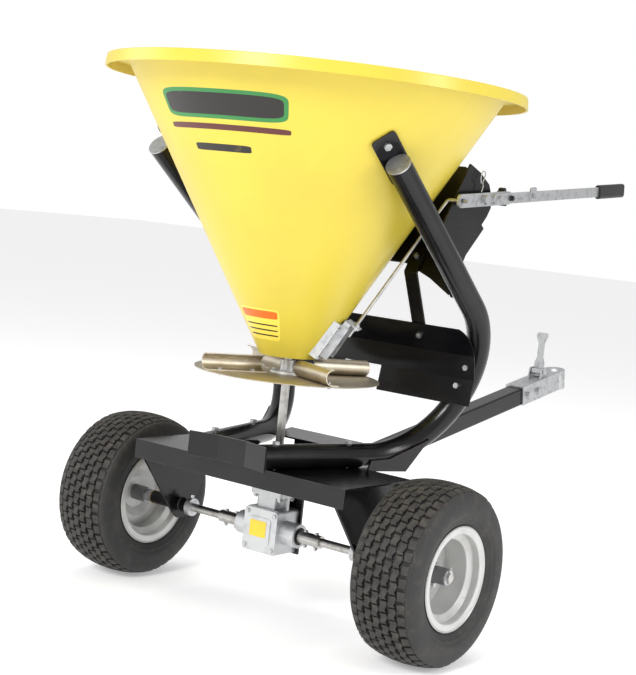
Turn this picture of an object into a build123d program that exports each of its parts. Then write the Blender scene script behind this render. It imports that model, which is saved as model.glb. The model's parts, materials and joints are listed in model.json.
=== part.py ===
# Tow-behind cone spreader: a conical hopper over a wheel-driven spinning disc.
# Frame: +X to the right wheel, +Y forward along the tongue, +Z up, millimetres.
# The origin is on the ground, under the middle of the machine's outline.
import os
from math import atan2, cos, degrees, pi, radians, sin, sqrt, tan

from build123d import *

# ---------------------------------------------------------------- overall sizes
tyre_r = 203.0  # 16 inch tyre
tyre_w = 165.0
track_half = 448.0  # wheel centre to the middle plane
rim_z = 1259.0  # top of the hopper's rim
rim_r = 482.0
lip_r = 485.0  # outer edge of the rim's down-turned lip
lip_drop = 26.0
cone_half = 29.85  # half angle of the hopper's cone, degrees
apex_z = 494.3  # where the cone's outer surface would meet the axis
floor_r = 69.8  # outer radius of the hopper's floor
wall = 5.0

# ---------------------------------------------------------------- tongue and coupler
tongue_slope = 10.85  # degrees, rising towards the hitch
tongue_size = 50.0
tongue_wall = 3.0
tongue_z0 = 275.8  # height of the tongue's centre line over the axle
tongue_rear = 76.0  # along the tongue, from the axle
tongue_front = 1210.0
ball_at = 1330.0  # ball socket, along the tongue from the axle
ball_r = 25.9  # socket for a 2 inch ball
nose_r = 34.0
coupler_rear = 1100.0
coupler_half = 29.5
coupler_t = 4.0

# ---------------------------------------------------------------- frame
deck_half = 312.0
deck_back = -155.0  # from the axle
deck_front = 107.0
deck_top = 372.0
deck_t = 4.0
deck_flange = 45.0
tube_r = 28.5
tube_wall = 3.0
tube_bend_r = 227.0
tube_plan = 15.0  # degrees that the lower legs spread towards the front
tube_leg = 323.0  # straight lower leg
tube_bend_at = (161.6, 134.0)  # start of the bend, x and y from the axle
tube_upper = 483.0  # straight upper leg
tube_lean = (0.040, -1.2763, 1.0)  # direction of the upper leg
cheek_x = 304.5  # outer face of the saddle's cheek plates
cheek_t = 4.5
web_gap = 8.0  # saddle web to the hopper's front
web_t = 4.0
hanger_x = 286.0
hanger_t = 6.0

# ---------------------------------------------------------------- running gear
axle_r = 10.0
run_fit = 0.05  # radial clearance of a shaft in its bush
bolt_fit = 0.25  # radial clearance of a bolt in its hole
teeth_crown = 24
teeth_pinion = 8
gear_module = 2.8
spinner_z = 572.0
spinner_r = 217.3
spinner_t = 3.0
fin_h = 38.0
fin_in = 62.0
shaft_top = 668.0

# ---------------------------------------------------------------- gate and lever
gate_az = 26.0  # where the gate sits round the cone, degrees from +X
gate_half = 36.0
gate_travel = 50.0
rod_r = 4.0
rod_off = 27.0  # control rod's distance from the cone
rod_top = 615.0  # along the cone from its apex
lever_x = 330.0  # inner face of the lever's yoke
lever_t = 6.0
lever_arm = 90.0  # pivot to the control rod
lever_rise = 6.0  # degrees, rest angle of the lever

# ---------------------------------------------------------------- worked out from those
slope = radians(tongue_slope)
half = radians(cone_half)
coupler_tip = (ball_at + nose_r) * cos(slope) + tongue_size / 2 * sin(slope)
axle_y = (lip_r - coupler_tip) / 2  # the outline runs from the hopper's rim to the coupler
axle_z = tyre_r
floor_z = apex_z + floor_r / tan(half)
parts = []


def at(y, z, x=0.0):
    """A point given by its distance ahead of the axle and its height."""
    return Vector(x, axle_y + y, z)


def side(x):
    """Plane across the machine at x: local x runs forward from the axle, local y is height."""
    return Plane(origin=(x, axle_y, 0), x_dir=(0, 1, 0), z_dir=(1, 0, 0))


def turned(x=0.0, z=axle_z):
    """Plane for profiles turned about the axle: local x is across, local y is radius."""
    return Plane(origin=(x, axle_y, z), x_dir=(1, 0, 0), z_dir=(0, -1, 0))


def level(z):
    """Horizontal plane over the axle."""
    return Plane(origin=(0, axle_y, z), x_dir=(1, 0, 0), z_dir=(0, 0, 1))


def cone_plane(azimuth, along, off=0.0):
    """Plane on the cone's side: local x climbs the cone, local z points away from it."""
    a = radians(azimuth)
    up = Vector(sin(half) * cos(a), sin(half) * sin(a), cos(half))
    out = Vector(cos(half) * cos(a), cos(half) * sin(a), -sin(half))
    return Plane(origin=at(0, apex_z) + up * along + out * off, x_dir=up, z_dir=out)


def tongue_plane(along, up=0.0, across=0.0):
    """Plane square to the tongue: local x is across, local y is up, local z runs forward."""
    ahead = Vector(0, cos(slope), sin(slope))
    rise = Vector(0, -sin(slope), cos(slope))
    where = at(0, tongue_z0) + ahead * along + rise * up + Vector(across, 0, 0)
    return Plane(origin=where, x_dir=(-1, 0, 0), z_dir=ahead)


def tongue_side(x):
    """Plane along the tongue at x: local x runs up the tongue, local y is square to it."""
    return Plane(origin=at(0, tongue_z0) + Vector(x, 0, 0), x_dir=(0, cos(slope), sin(slope)), z_dir=(1, 0, 0))


axle_axis = Axis((0, axle_y, axle_z), (1, 0, 0))
spin_axis = Axis((0, axle_y, 0), (0, 0, 1))


def tube_x(r_out, r_in, x0, x1):
    """Adds a plain sleeve on the axle's line from x0 to x1."""
    with BuildSketch(Plane(origin=(x0, axle_y, axle_z), z_dir=(1, 0, 0))) as ring:
        Circle(r_out)
        if r_in:
            Circle(r_in, mode=Mode.SUBTRACT)
    extrude(ring.sketch, amount=x1 - x0)


def tube_z(r_out, r_in, z0, z1):
    """Adds a plain sleeve on the vertical shaft's line from z0 to z1."""
    with BuildSketch(level(z0)) as ring:
        Circle(r_out)
        if r_in:
            Circle(r_in, mode=Mode.SUBTRACT)
    extrude(ring.sketch, amount=z1 - z0)


def bolt(seat, grip, d, nut=True, tail=0.0):
    """Adds a hex bolt: seat is the plane under its head, with z out through the head."""
    with BuildSketch(seat) as head:
        RegularPolygon(0.92 * d, 6)
    extrude(head.sketch, amount=0.64 * d)
    with BuildSketch(seat) as shank:
        Circle(d / 2)
    extrude(shank.sketch, amount=-(grip + (1.25 * d if nut else tail)))
    if nut:
        with BuildSketch(seat.offset(-grip)) as hexagon:
            RegularPolygon(0.92 * d, 6)
            Circle(d / 2 + 0.05, mode=Mode.SUBTRACT)
        extrude(hexagon.sketch, amount=-0.85 * d)


def hole(seat, d, depth):
    """Cuts a bolt's clearance hole through the part, on the bolt's own line."""
    with BuildSketch(seat.offset(depth)) as bore:
        Circle(d / 2 + bolt_fit)
    extrude(bore.sketch, amount=-2 * depth, mode=Mode.SUBTRACT)


def flipped(p):
    """The plane p seen in the machine's middle plane."""
    o, x, z = p.origin, p.x_dir, p.z_dir
    return Plane(origin=(-o.X, o.Y, o.Z), x_dir=(-x.X, x.Y, x.Z), z_dir=(-z.X, z.Y, z.Z))


def save(piece, name):
    piece.part.label = name
    export_step(piece.part, f"parts/{name}.step")
    parts.append(name)


os.makedirs("parts", exist_ok=True)

# ================================================================ frame
# Frame tubes: a lower leg on the deck, one large bend, and an upper leg to the hopper.
plan = radians(tube_plan)
run = Vector(sin(plan), cos(plan), 0)
lean = Vector(*tube_lean).normalized()
tube_z0 = deck_top + tube_r
bend_start = at(tube_bend_at[1], tube_z0, tube_bend_at[0])
inward = (lean - run * lean.dot(run)).normalized()
tube_plane = Plane(origin=bend_start, x_dir=run, z_dir=run.cross(inward))
tube_turn = run.get_angle(lean)
tube_rear = bend_start - run * tube_leg
bend_end = bend_start + run * (tube_bend_r * sin(radians(tube_turn)))
bend_end += inward * (tube_bend_r * (1 - cos(radians(tube_turn))))
tube_end = bend_end + lean * tube_upper

with BuildPart() as right_frame_tube:
    with BuildLine(tube_plane) as tube_path:
        leg = Line((-tube_leg, 0), (0, 0))
        bend = JernArc(start=leg @ 1, tangent=(1, 0), radius=tube_bend_r, arc_size=tube_turn)
        turn = radians(tube_turn)
        Line(bend @ 1, (tube_bend_r * sin(turn) + tube_upper * cos(turn),
                        tube_bend_r * (1 - cos(turn)) + tube_upper * sin(turn)))
    with BuildSketch(Plane(origin=tube_rear, z_dir=run)):
        Circle(tube_r)
        Circle(tube_r - tube_wall, mode=Mode.SUBTRACT)
    sweep()
with BuildPart() as left_frame_tube:
    mirror(right_frame_tube.part, about=Plane.YZ)

# Tabs carry the tubes' upper ends on the hopper's sides.
bolt_point = tube_end + lean * 36
bolt_az = degrees(atan2(bolt_point.Y - axle_y, bolt_point.X))
tab_out = cone_plane(bolt_az, 0).z_dir
tab_out = (tab_out - lean * tab_out.dot(lean)).normalized()
tab_face = bolt_point - tab_out * tube_r
hopper_tab_plane = Plane(origin=tab_face, x_dir=lean, z_dir=tab_out)
tab_t = 4.0
with BuildPart() as right_hopper_tab:
    with BuildSketch(hopper_tab_plane):
        with Locations((-38, 0)):
            RectangleRounded(128, 58, 9)
    extrude(amount=-tab_t)
    hole(hopper_tab_plane, 10, 30)
with BuildPart() as left_hopper_tab:
    mirror(right_hopper_tab.part, about=Plane.YZ)

with BuildPart() as tube_plugs:
    for end in (Plane(origin=tube_end, z_dir=lean), flipped(Plane(origin=tube_end, z_dir=lean))):
        with BuildSketch(end):
            Circle(tube_r)
        extrude(amount=3)
        with BuildSketch(end):
            Circle(tube_r - tube_wall)
        extrude(amount=-12)

# Rear tie strap: one folded plate over the tubes' rear ends.
strap_t, strap_h, strap_half = 4.0, 57.0, 38.0
across = Vector(cos(plan), -sin(plan), 0)
cap_mid = tube_rear - run * 0.0
cap_in = cap_mid - across * strap_half
cap_out = cap_mid + across * strap_half
with BuildPart() as rear_tie_strap:
    with BuildSketch(Plane.XY.offset(deck_top)):
        with BuildLine():
            mid_y = cap_in.Y
            pts = [(-cap_out.X, cap_out.Y), (-cap_in.X, mid_y), (cap_in.X, mid_y), (cap_out.X, cap_out.Y)]
            back = [(cap_out.X - strap_t * sin(plan), cap_out.Y - strap_t * cos(plan)),
                    (cap_in.X - 0.5, mid_y - strap_t), (-cap_in.X + 0.5, mid_y - strap_t),
                    (-cap_out.X + strap_t * sin(plan), cap_out.Y - strap_t * cos(plan))]
            Polyline(*pts, *back, close=True)
        make_face()
    extrude(amount=strap_h)

# Deck: a pan across the axle, flanged down at its back and front.
with BuildPart() as deck:
    with BuildSketch(side(-deck_half)):
        with BuildLine():
            Polyline((deck_back, deck_top), (deck_front, deck_top), (deck_front, deck_top - deck_flange),
                     (deck_front - deck_t, deck_top - deck_flange), (deck_front - deck_t, deck_top - deck_t),
                     (deck_back + deck_t, deck_top - deck_t), (deck_back + deck_t, deck_top - deck_flange),
                     (deck_back, deck_top - deck_flange), close=True)
        make_face()
    extrude(amount=2 * deck_half)
    with BuildSketch(level(deck_top + 1)):
        Circle(22)
    extrude(amount=-10, mode=Mode.SUBTRACT)

# Hangers: triangular plates that carry the axle's bearing tubes.
bearing_tube_r = 16.0
with BuildPart() as right_hanger:
    with BuildSketch(side(hanger_x - hanger_t / 2)):
        with BuildLine():
            Polyline((deck_back + deck_t, deck_top - deck_t), (deck_front - deck_t, deck_top - deck_t),
                     (deck_front - deck_t, 318), (30, axle_z - 20), (14, axle_z - 32), (-14, axle_z - 32),
                     (-32, axle_z - 18), (deck_back + deck_t, 330), close=True)
        make_face()
        with Locations((0, axle_z)):
            Circle(bearing_tube_r, mode=Mode.SUBTRACT)
    extrude(amount=hanger_t)
with BuildPart() as left_hanger:
    mirror(right_hanger.part, about=Plane.YZ)

tube_in, tube_out = 262.0, 376.0
bush_bore = axle_r + run_fit
with BuildPart() as right_bearing_tube:
    tube_x(bearing_tube_r, 13, tube_in, tube_out)
with BuildPart() as left_bearing_tube:
    tube_x(bearing_tube_r, 13, -tube_out, -tube_in)
with BuildPart() as axle_bushes:
    for sign in (-1, 1):
        for end, inner in ((tube_in, 1), (tube_out, -1)):
            a, b = sorted((sign * end, sign * (end + inner * 20)))
            tube_x(13, bush_bore, a, b)
            a, b = sorted((sign * end, sign * (end - inner * 3)))
            tube_x(17, bush_bore, a, b)

# Bridge: a folded plate between the lower legs that seats the tongue under it.
bridge_back, bridge_front, bridge_top, bridge_t = 128.0, 262.0, 403.0, 4.0


def tongue_top(y):
    return tongue_z0 + y * tan(slope) + tongue_size / 2 / cos(slope)


with BuildPart() as bridge:
    with BuildSketch(level(bridge_top)):
        with BuildLine():
            Polyline((-130, bridge_back), (130, bridge_back), (171, bridge_front), (-171, bridge_front), close=True)
        make_face()
    extrude(amount=-bridge_t)
    for y0, y1, low in ((bridge_back, bridge_back + bridge_t, tongue_top(bridge_back + bridge_t)),
                        (bridge_front - bridge_t, bridge_front, tongue_top(bridge_front))):
        with BuildSketch(level(bridge_top - bridge_t)):
            with Locations((0, (y0 + y1) / 2)):
                Rectangle(110, bridge_t)
        extrude(amount=-(bridge_top - bridge_t - low))

# Tongue: one square tube from under the deck to the coupler.
with BuildPart() as tongue:
    with BuildSketch(tongue_plane(tongue_rear)):
        RectangleRounded(tongue_size, tongue_size, 5)
        RectangleRounded(tongue_size - 2 * tongue_wall, tongue_size - 2 * tongue_wall, 2.5, mode=Mode.SUBTRACT)
    extrude(amount=tongue_front - tongue_rear)
    coupler_bolt_seats = [
        Plane(origin=tongue_plane(s, 0, coupler_half).origin, x_dir=(0, cos(slope), sin(slope)), z_dir=(1, 0, 0))
        for s in (1128.0, 1186.0)
    ]
    for seat in coupler_bolt_seats:
        hole(seat, 12, 70)

# Side plates that hang the tongue from the deck's front flange and the bridge.
with BuildPart() as tongue_brackets:
    for x in (tongue_size / 2, -tongue_size / 2 - 5):
        with BuildSketch(side(x)):
            with BuildLine():
                Polyline((deck_front, deck_top - 2), (bridge_back, deck_top - 2), (bridge_back, 324),
                         (bridge_back + 40, 324), (bridge_back + 40, 296), (deck_front, 278), close=True)
            make_face()
        extrude(amount=5)

# Gussets: plates welded along the outer side of the tubes' bends.
with BuildPart() as right_gusset:
    with BuildSketch(tube_plane.offset(tube_r)):
        with BuildLine():
            Polyline((-15, -24), (105, -28), (142, 60), (118, 47), (40, 8), (-15, 4), close=True)
        make_face()
    extrude(amount=5)

# ================================================================ hopper and its saddle
inner_apex = apex_z + wall / sin(half)


def cone_r(z, apex=apex_z):
    return (z - apex) * tan(half)


throat_z = rim_z - lip_drop + 4
with BuildPart() as hopper:
    with BuildSketch(Plane(origin=(0, axle_y, 0), x_dir=(1, 0, 0), z_dir=(0, -1, 0))):
        with BuildLine():
            Polyline((0, floor_z), (floor_r, floor_z), (cone_r(throat_z), throat_z))
            Spline((cone_r(throat_z), throat_z), (cone_r(throat_z) + 9, rim_z - 9), (cone_r(throat_z) + 22, rim_z - wall),
                   tangents=((sin(half), cos(half)), (1, 0)))
            Polyline((cone_r(throat_z) + 22, rim_z - wall), (rim_r - wall, rim_z - wall),
                     (lip_r - wall, rim_z - lip_drop), (lip_r, rim_z - lip_drop), (rim_r, rim_z),
                     (cone_r(throat_z) + 14, rim_z))
            Spline((cone_r(throat_z) + 14, rim_z), (cone_r(throat_z) + 2, rim_z - 6), (cone_r(throat_z, inner_apex), throat_z),
                   tangents=((-1, 0), (-sin(half), -cos(half))))
            Polyline((cone_r(throat_z, inner_apex), throat_z), (cone_r(floor_z + 6, inner_apex), floor_z + 6),
                     (0, floor_z + 6), (0, floor_z))
        make_face()
    revolve(axis=spin_axis)
    rim_edges = hopper.edges().filter_by(GeomType.CIRCLE).group_by(Axis.Z)[-1]
    fillet(rim_edges.sort_by(SortBy.RADIUS)[-1], 2.2)
    with BuildSketch(level(floor_z - 2)):
        Circle(14)
    extrude(amount=12, mode=Mode.SUBTRACT)
    # the metering port, low in the wall, behind the gate
    with BuildSketch(cone_plane(gate_az, 172, 4)):
        RectangleRounded(40, 52, 8)
    extrude(amount=-18, mode=Mode.SUBTRACT)
    for seat in (hopper_tab_plane, flipped(hopper_tab_plane)):
        hole(seat, 10, 30)
    for along in (500, 640):
        hole(cone_plane(90, along, web_gap + web_t), 10, 40)
    guide_seats = []
    for along, across_y in ((150, 46), (232, 51.5), (150, -46), (232, -51.5)):
        plate = cone_plane(gate_az, along, 3.3)
        spot = plate.origin + plate.y_dir * across_y
        guide_seats.append(Plane(origin=spot, x_dir=plate.x_dir, z_dir=plate.z_dir))
        hole(guide_seats[-1], 5, 30)

with BuildPart() as hopper_bush:
    tube_z(14, bush_bore, floor_z, floor_z + 6)
    tube_z(22, bush_bore, floor_z + 6, floor_z + 9)

# Saddle web: a broad plate across the hopper's front, square to the tubes' bends.
web_plane = cone_plane(90, 0, web_gap)
web_edge = cheek_x - cheek_t
with BuildPart() as saddle_web:
    with BuildSketch(web_plane):
        with BuildLine():
            side_pts = [(424, 60), (424, 150), (392, 232), (355, web_edge), (622, web_edge), (668, 270), (704, 200)]
            Polyline(*side_pts, *[(a, -b) for a, b in reversed(side_pts)], close=True)
        make_face()
    extrude(amount=web_t)
    for along in (500, 640):
        hole(cone_plane(90, along, web_gap + web_t), 10, 20)
    strut_x = 178.0
    for x in (strut_x, -strut_x):
        strut_seat = cone_plane(90, 441, web_gap + web_t)
        hole(Plane(origin=strut_seat.origin + Vector(x, 0, 0), x_dir=strut_seat.x_dir, z_dir=strut_seat.z_dir), 8, 20)

# Cheeks: fan-shaped plates from the tubes out to the web's ends; the right one carries the lever.
pin_y = (rod_top * sin(half) + rod_off * cos(half)) * sin(radians(gate_az))
pin_x = (rod_top * sin(half) + rod_off * cos(half)) * cos(radians(gate_az))
pin_z = apex_z + rod_top * cos(half) - rod_off * sin(half)
rise = radians(lever_rise)
pivot_y = pin_y + lever_arm * cos(rise)
pivot_z = pin_z + lever_arm * sin(rise)
with BuildPart() as right_cheek:
    with BuildSketch(side(cheek_x - cheek_t)):
        with BuildLine():
            Polyline((196, 792), (206, 792), (214, 872), (300, 957), (289, 966), (307, 985), (321, 1007),
                     (317, 1036), (303, 1061), (258, 1086), (212, 1102), (131, 968), (100, 905), (130, 862), close=True)
        make_face()
    extrude(amount=cheek_t)
    hole(Plane(origin=at(pivot_y, pivot_z, cheek_x), z_dir=(1, 0, 0)), 12, 20)
with BuildPart() as left_cheek:
    mirror(right_cheek.part, about=Plane.YZ)

with BuildPart() as saddle_spacers:
    for along in (500, 640):
        with BuildSketch(cone_plane(90, along, 0.4)):
            Circle(14)
            Circle(5 + bolt_fit, mode=Mode.SUBTRACT)
        extrude(amount=web_gap - 0.4)

# Spinner shield: a folded sheet between the tubes' bends.
shield_t = 2.5
shield_line = [(293.5, 535), (304.8, 597), (294.0, 655), (258.4, 717)]


def shield_face(z):
    """How far ahead of the axle the shield's front face is at height z."""
    for (y0, z0), (y1, z1) in zip(shield_line, shield_line[1:]):
        if z <= z1:
            return y0 + (y1 - y0) * (z - z0) / (z1 - z0)
    return shield_line[-1][0]


with BuildPart() as spinner_shield:
    with BuildSketch(side(-325)):
        with BuildLine():
            Polyline(*shield_line)
            offset(amount=shield_t, side=Side.LEFT)
        make_face()
    extrude(amount=650)
    # the lower flange is open behind the tongue, and the upper corners are rounded
    with BuildSketch(Plane(origin=(0, axle_y + 340, 0), x_dir=(1, 0, 0), z_dir=(0, -1, 0))):
        with Locations((0, 560)):
            Rectangle(112, 72)
    extrude(amount=100, mode=Mode.SUBTRACT)
    with BuildSketch(Plane(origin=(0, axle_y + 340, 0), x_dir=(1, 0, 0), z_dir=(0, -1, 0))):
        for sign in (-1, 1):
            with BuildLine():
                Polyline((sign * 285, 720), (sign * 328, 720), (sign * 328, 672), (sign * 325, 672))
                ThreePointArc((sign * 325, 672), (sign * 313, 704), (sign * 285, 720))
            make_face()
    extrude(amount=120, mode=Mode.SUBTRACT)
    shield_seats = []
    for x, z in ((281.0, 580.0), (303.0, 626.0), (-281.0, 580.0), (-303.0, 626.0)):
        back = at(shield_face(z) - shield_t - 1.6, z, x)
        shield_seats.append(Plane(origin=back, x_dir=(1, 0, 0), z_dir=(0, -1, 0)))
        hole(shield_seats[-1], 8, 6)
    strut_fix_z = 690.0
    fold_y, fold_z = shield_line[3][0] - shield_line[2][0], shield_line[3][1] - shield_line[2][1]
    strut_seats = []
    for x in (178.0, -178.0):
        front = Plane(origin=at(shield_face(strut_fix_z), strut_fix_z, x), x_dir=(1, 0, 0), z_dir=(0, fold_z, -fold_y))
        strut_seats.append(front.offset(5.1))
        hole(strut_seats[-1], 8, 12)

# Struts: flat bars from the web's lower edge down to the shield's top.
strut_t, strut_w = 5.0, 36.0


def web_y(z):
    """How far ahead of the axle the web's rear face is at height z."""
    return (z - apex_z) * tan(half) + web_gap / cos(half)


top_fold_z = 838.0
strut_path = [(web_y(892), 892), (web_y(top_fold_z), top_fold_z)]
strut_rest = strut_t * sqrt(1 + (fold_y / fold_z) ** 2) + 0.1
strut_path += [(shield_face(712) + strut_rest, 712), (shield_face(672) + strut_rest, 672)]
with BuildPart() as right_strut:
    with BuildSketch(side(strut_x - strut_w / 2)):
        with BuildLine():
            Polyline(*strut_path)
            offset(amount=strut_t, side=Side.RIGHT)
        make_face()
    extrude(amount=strut_w)
    for x in (strut_x,):
        hole(Plane(origin=strut_seat.origin + Vector(x, 0, 0), x_dir=strut_seat.x_dir, z_dir=strut_seat.z_dir), 8, 30)
        hole(strut_seats[0], 8, 12)


def both_sides(piece):
    """The piece and its mirror image, as two separate solids."""
    with BuildPart() as group:
        add(piece.part)
        mirror(piece.part, about=Plane.YZ)
    return group


# ================================================================ gearbox
case_half, case_back, case_front, case_low, case_high = 48.0, -35.5, 40.0, 150.0, 256.0
cover_t = 5.5
flange_z, flange_top = 285.0, 297.0
shelf_top = 303.0
bearing_r = 21.0
cover_seats = [
    Plane(origin=at(case_back - cover_t, axle_z + v, u), x_dir=(1, 0, 0), z_dir=(0, -1, 0))
    for u in (-40.5, 40.5) for v in (-40.5, 40.5)
]
shelf_seats = [
    Plane(origin=at(v, shelf_top, u), x_dir=(1, 0, 0), z_dir=(0, 0, 1)) for u in (-37, 37) for v in (-22, 22)
]
back_plane = Plane(origin=(0, axle_y + case_back, 0), x_dir=(1, 0, 0), z_dir=(0, -1, 0))
with BuildPart() as gearbox_case:
    with BuildSketch(back_plane):
        with Locations((0, (case_low + case_high) / 2)):
            RectangleRounded(2 * case_half, case_high - case_low, 8)
    extrude(amount=-(case_front - case_back))
    tube_x(28, 0, -88, 88)
    with BuildSketch(level(case_high - 1)):
        RectangleRounded(55, 55, 6)
    extrude(amount=flange_z - case_high + 1)
    with BuildSketch(level(flange_z)):
        RectangleRounded(90, 64, 6)
    extrude(amount=flange_top - flange_z)
    for u in (-45.0, 40.0):
        with BuildSketch(side(u)):
            with BuildLine():
                Polyline((-4, case_high - 1), (4, case_high - 1), (4, flange_z + 1), (-4, flange_z + 1), close=True)
            make_face()
        extrude(amount=5)
    with BuildSketch(back_plane):
        with Locations((0, 204)):
            RectangleRounded(84, 92, 22)
    extrude(amount=-(case_front - case_back - 4), mode=Mode.SUBTRACT)
    with BuildSketch(Plane(origin=(-89, axle_y, axle_z), z_dir=(1, 0, 0))):
        Circle(bearing_r)
    extrude(amount=178, mode=Mode.SUBTRACT)
    for radius, low, high in ((15, 248, 267), (12, 266, 279), (bearing_r, 278, flange_top + 1)):
        with BuildSketch(level(low)):
            Circle(radius)
        extrude(amount=high - low, mode=Mode.SUBTRACT)
    for seat in cover_seats:
        hole(seat, 6, 22)
    for seat in shelf_seats:
        hole(seat, 8, 30)
with BuildPart() as gearbox_cover:
    with BuildSketch(back_plane):
        with Locations((0, axle_z)):
            RectangleRounded(98, 102, 8)
    extrude(amount=cover_t)
    with BuildSketch(back_plane.offset(cover_t)):
        with Locations((0, axle_z)):
            RectangleRounded(62, 62, 6)
    extrude(amount=2)
    for seat in cover_seats:
        hole(seat, 6, 22)
with BuildPart() as gearbox_bracket:
    with BuildSketch(Plane(origin=(0, axle_y + case_front, 0), x_dir=(1, 0, 0), z_dir=(0, -1, 0))):
        with Locations((0, (148 + deck_top - deck_t) / 2)):
            Rectangle(112, deck_top - deck_t - 148)
    extrude(amount=-6)
    with BuildSketch(Plane(origin=(0, axle_y + 4, flange_top), x_dir=(1, 0, 0), z_dir=(0, 0, 1))):
        Rectangle(92, 2 * (case_front - 4))
        with Locations((0, -4)):
            Circle(15, mode=Mode.SUBTRACT)
    extrude(amount=shelf_top - flange_top)
    for seat in shelf_seats:
        hole(seat, 8, 30)
with BuildPart() as gearbox_bolts:
    for seat in cover_seats:
        bolt(seat, cover_t + 10, 6, nut=False)
    for seat in shelf_seats:
        bolt(seat, shelf_top - flange_z, 8)
with BuildPart() as gearbox_bearings:
    for x in (-72, 54):
        tube_x(bearing_r, 17.5, x, x + 18)
        tube_x(13, axle_r + run_fit, x, x + 18)
    tube_z(15, 12.5, 254, 266)
    tube_z(8, 5 + run_fit, 254, 266)
    tube_z(bearing_r, 17.5, 278, 292)
    tube_z(13, axle_r + run_fit, 278, 292)
    for x in (-63, 63):
        with BuildSketch(Plane(origin=(x, axle_y, axle_z), x_dir=(0, 1, 0), z_dir=(1, 0, 0))):
            Circle(17.9)
            Circle(12.6, mode=Mode.SUBTRACT)
        extrude(amount=3, both=True)
    tube_z(12.9, 7.6, 258, 262)
    tube_z(17.9, 12.6, 282, 288)
with BuildPart() as gearbox_seals:
    tube_x(bearing_r, axle_r + run_fit, -88, -78)
    tube_x(bearing_r, axle_r + run_fit, 78, 88)
    tube_z(bearing_r, axle_r + run_fit, 292, flange_top)

# Bevel gears: straight teeth lofted along the pitch cones, which meet at the axle's centre.
cone_len = gear_module / 2 * sqrt(teeth_crown ** 2 + teeth_pinion ** 2)
tooth_in = 26.4
gear_apex = at(0, axle_z)


def tooth(direction, outward):
    """Adds one straight bevel tooth that points along its pitch line."""
    with BuildPart(mode=Mode.PRIVATE) as one:
        ends = []
        for along in (cone_len, tooth_in):
            k = along / cone_len
            where = Plane(origin=gear_apex + direction * along, x_dir=outward.cross(direction), z_dir=direction)
            with BuildSketch(where) as end:
                with BuildLine():
                    Polyline((-2.7 * k, -3 * k), (-1.65 * k, 0), (-0.75 * k, 2.3 * k), (0.75 * k, 2.3 * k),
                             (1.65 * k, 0), (2.7 * k, -3 * k), close=True)
                make_face()
            ends.append(end.sketch.face())
        loft(ends)
    add(one.part)


crown_tilt = atan2(teeth_crown, teeth_pinion)
pinion_tilt = atan2(teeth_pinion, teeth_crown)
with BuildPart() as crown_gear:
    with BuildSketch(turned()):
        with BuildLine():
            Polyline((-9.7, 22.5), (-14.05, 32.65), (-20, 34), (-24, 18), (-36, 18), (-36, axle_r), (-10, axle_r), close=True)
        make_face()
    revolve(axis=axle_axis)
    for k in range(teeth_crown):
        a = 2 * pi * k / teeth_crown
        radial = Vector(0, sin(a), cos(a))
        tooth(Vector(-cos(crown_tilt), 0, 0) + radial * sin(crown_tilt),
              Vector(sin(crown_tilt), 0, 0) + radial * cos(crown_tilt))
    hole(Plane(origin=at(0, axle_z, -30), z_dir=(0, 0, 1)), 4.5, 30)
with BuildPart() as bevel_pinion:
    with BuildSketch(turned()):
        with BuildLine():
            Polyline((5, 25.4), (6.1, 25.4), (8.35, 34.55), (9.5, 36.5), (9.5, 46.5), (5, 46.5), close=True)
        make_face()
    revolve(axis=spin_axis)
    for k in range(teeth_pinion):
        a = pi + 2 * pi * (k + 0.5) / teeth_pinion
        radial = Vector(cos(a), sin(a), 0)
        tooth(Vector(0, 0, cos(pinion_tilt)) + radial * sin(pinion_tilt),
              Vector(0, 0, -sin(pinion_tilt)) + radial * cos(pinion_tilt))
    hole(Plane(origin=at(0, axle_z + 42, 0), z_dir=(1, 0, 0)), 2.5, 20)
with BuildPart() as crown_pin:
    with BuildSketch(level(axle_z - 17.5)):
        with Locations((-30, 0)):
            Circle(2.25)
    extrude(amount=35)
with BuildPart() as pinion_pin:
    with BuildSketch(Plane(origin=at(0, axle_z + 42, -9), z_dir=(1, 0, 0))):
        Circle(1.25)
    extrude(amount=18)

# ================================================================ axle and wheels
axle_end = 506.0
joint_x = (106.0, 137.0)
hub_in, hub_out = 399.0, 497.0
with BuildPart() as gearbox_shaft:
    tube_x(axle_r, 0, -120, 120)
    for x in (-joint_x[0], joint_x[0], -30):
        hole(Plane(origin=at(0, axle_z, x), z_dir=(0, 0, 1)), 4.5 if x == -30 else 6, 30)
with BuildPart() as half_axles:
    tube_x(axle_r, 0, 121, axle_end)
    tube_x(axle_r, 0, -axle_end, -121)
    for x in (-joint_x[1], joint_x[1]):
        hole(Plane(origin=at(0, axle_z, x), z_dir=(0, 0, 1)), 6, 30)
    for x in (-axle_end + 3.5, axle_end - 3.5):
        hole(Plane(origin=at(0, axle_z, x), z_dir=(0, 0, 1)), 3, 30)
    hole(Plane(origin=at(0, axle_z, 464), z_dir=(0, 0, 1)), 8, 30)
with BuildPart() as shaft_couplings:
    tube_x(15, axle_r, 91, 152)
    tube_x(15, axle_r, -152, -91)
    for x in joint_x:
        for sign in (-1, 1):
            hole(Plane(origin=at(0, axle_z, sign * x), z_dir=(0, 0, 1)), 6, 30)
with BuildPart() as coupling_bolts:
    for x in joint_x:
        for sign in (-1, 1):
            bolt(Plane(origin=at(0, axle_z + 15, sign * x), z_dir=(0, 0, 1)), 30, 6)
with BuildPart() as set_collars:
    for x in (-258, 246):
        tube_x(22, axle_r, x, x + 12)
    for x in (-252, 252):
        with BuildSketch(level(axle_z)):
            with Locations((x, 0)):
                Circle(3.5)
        extrude(amount=30, mode=Mode.SUBTRACT)
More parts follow.
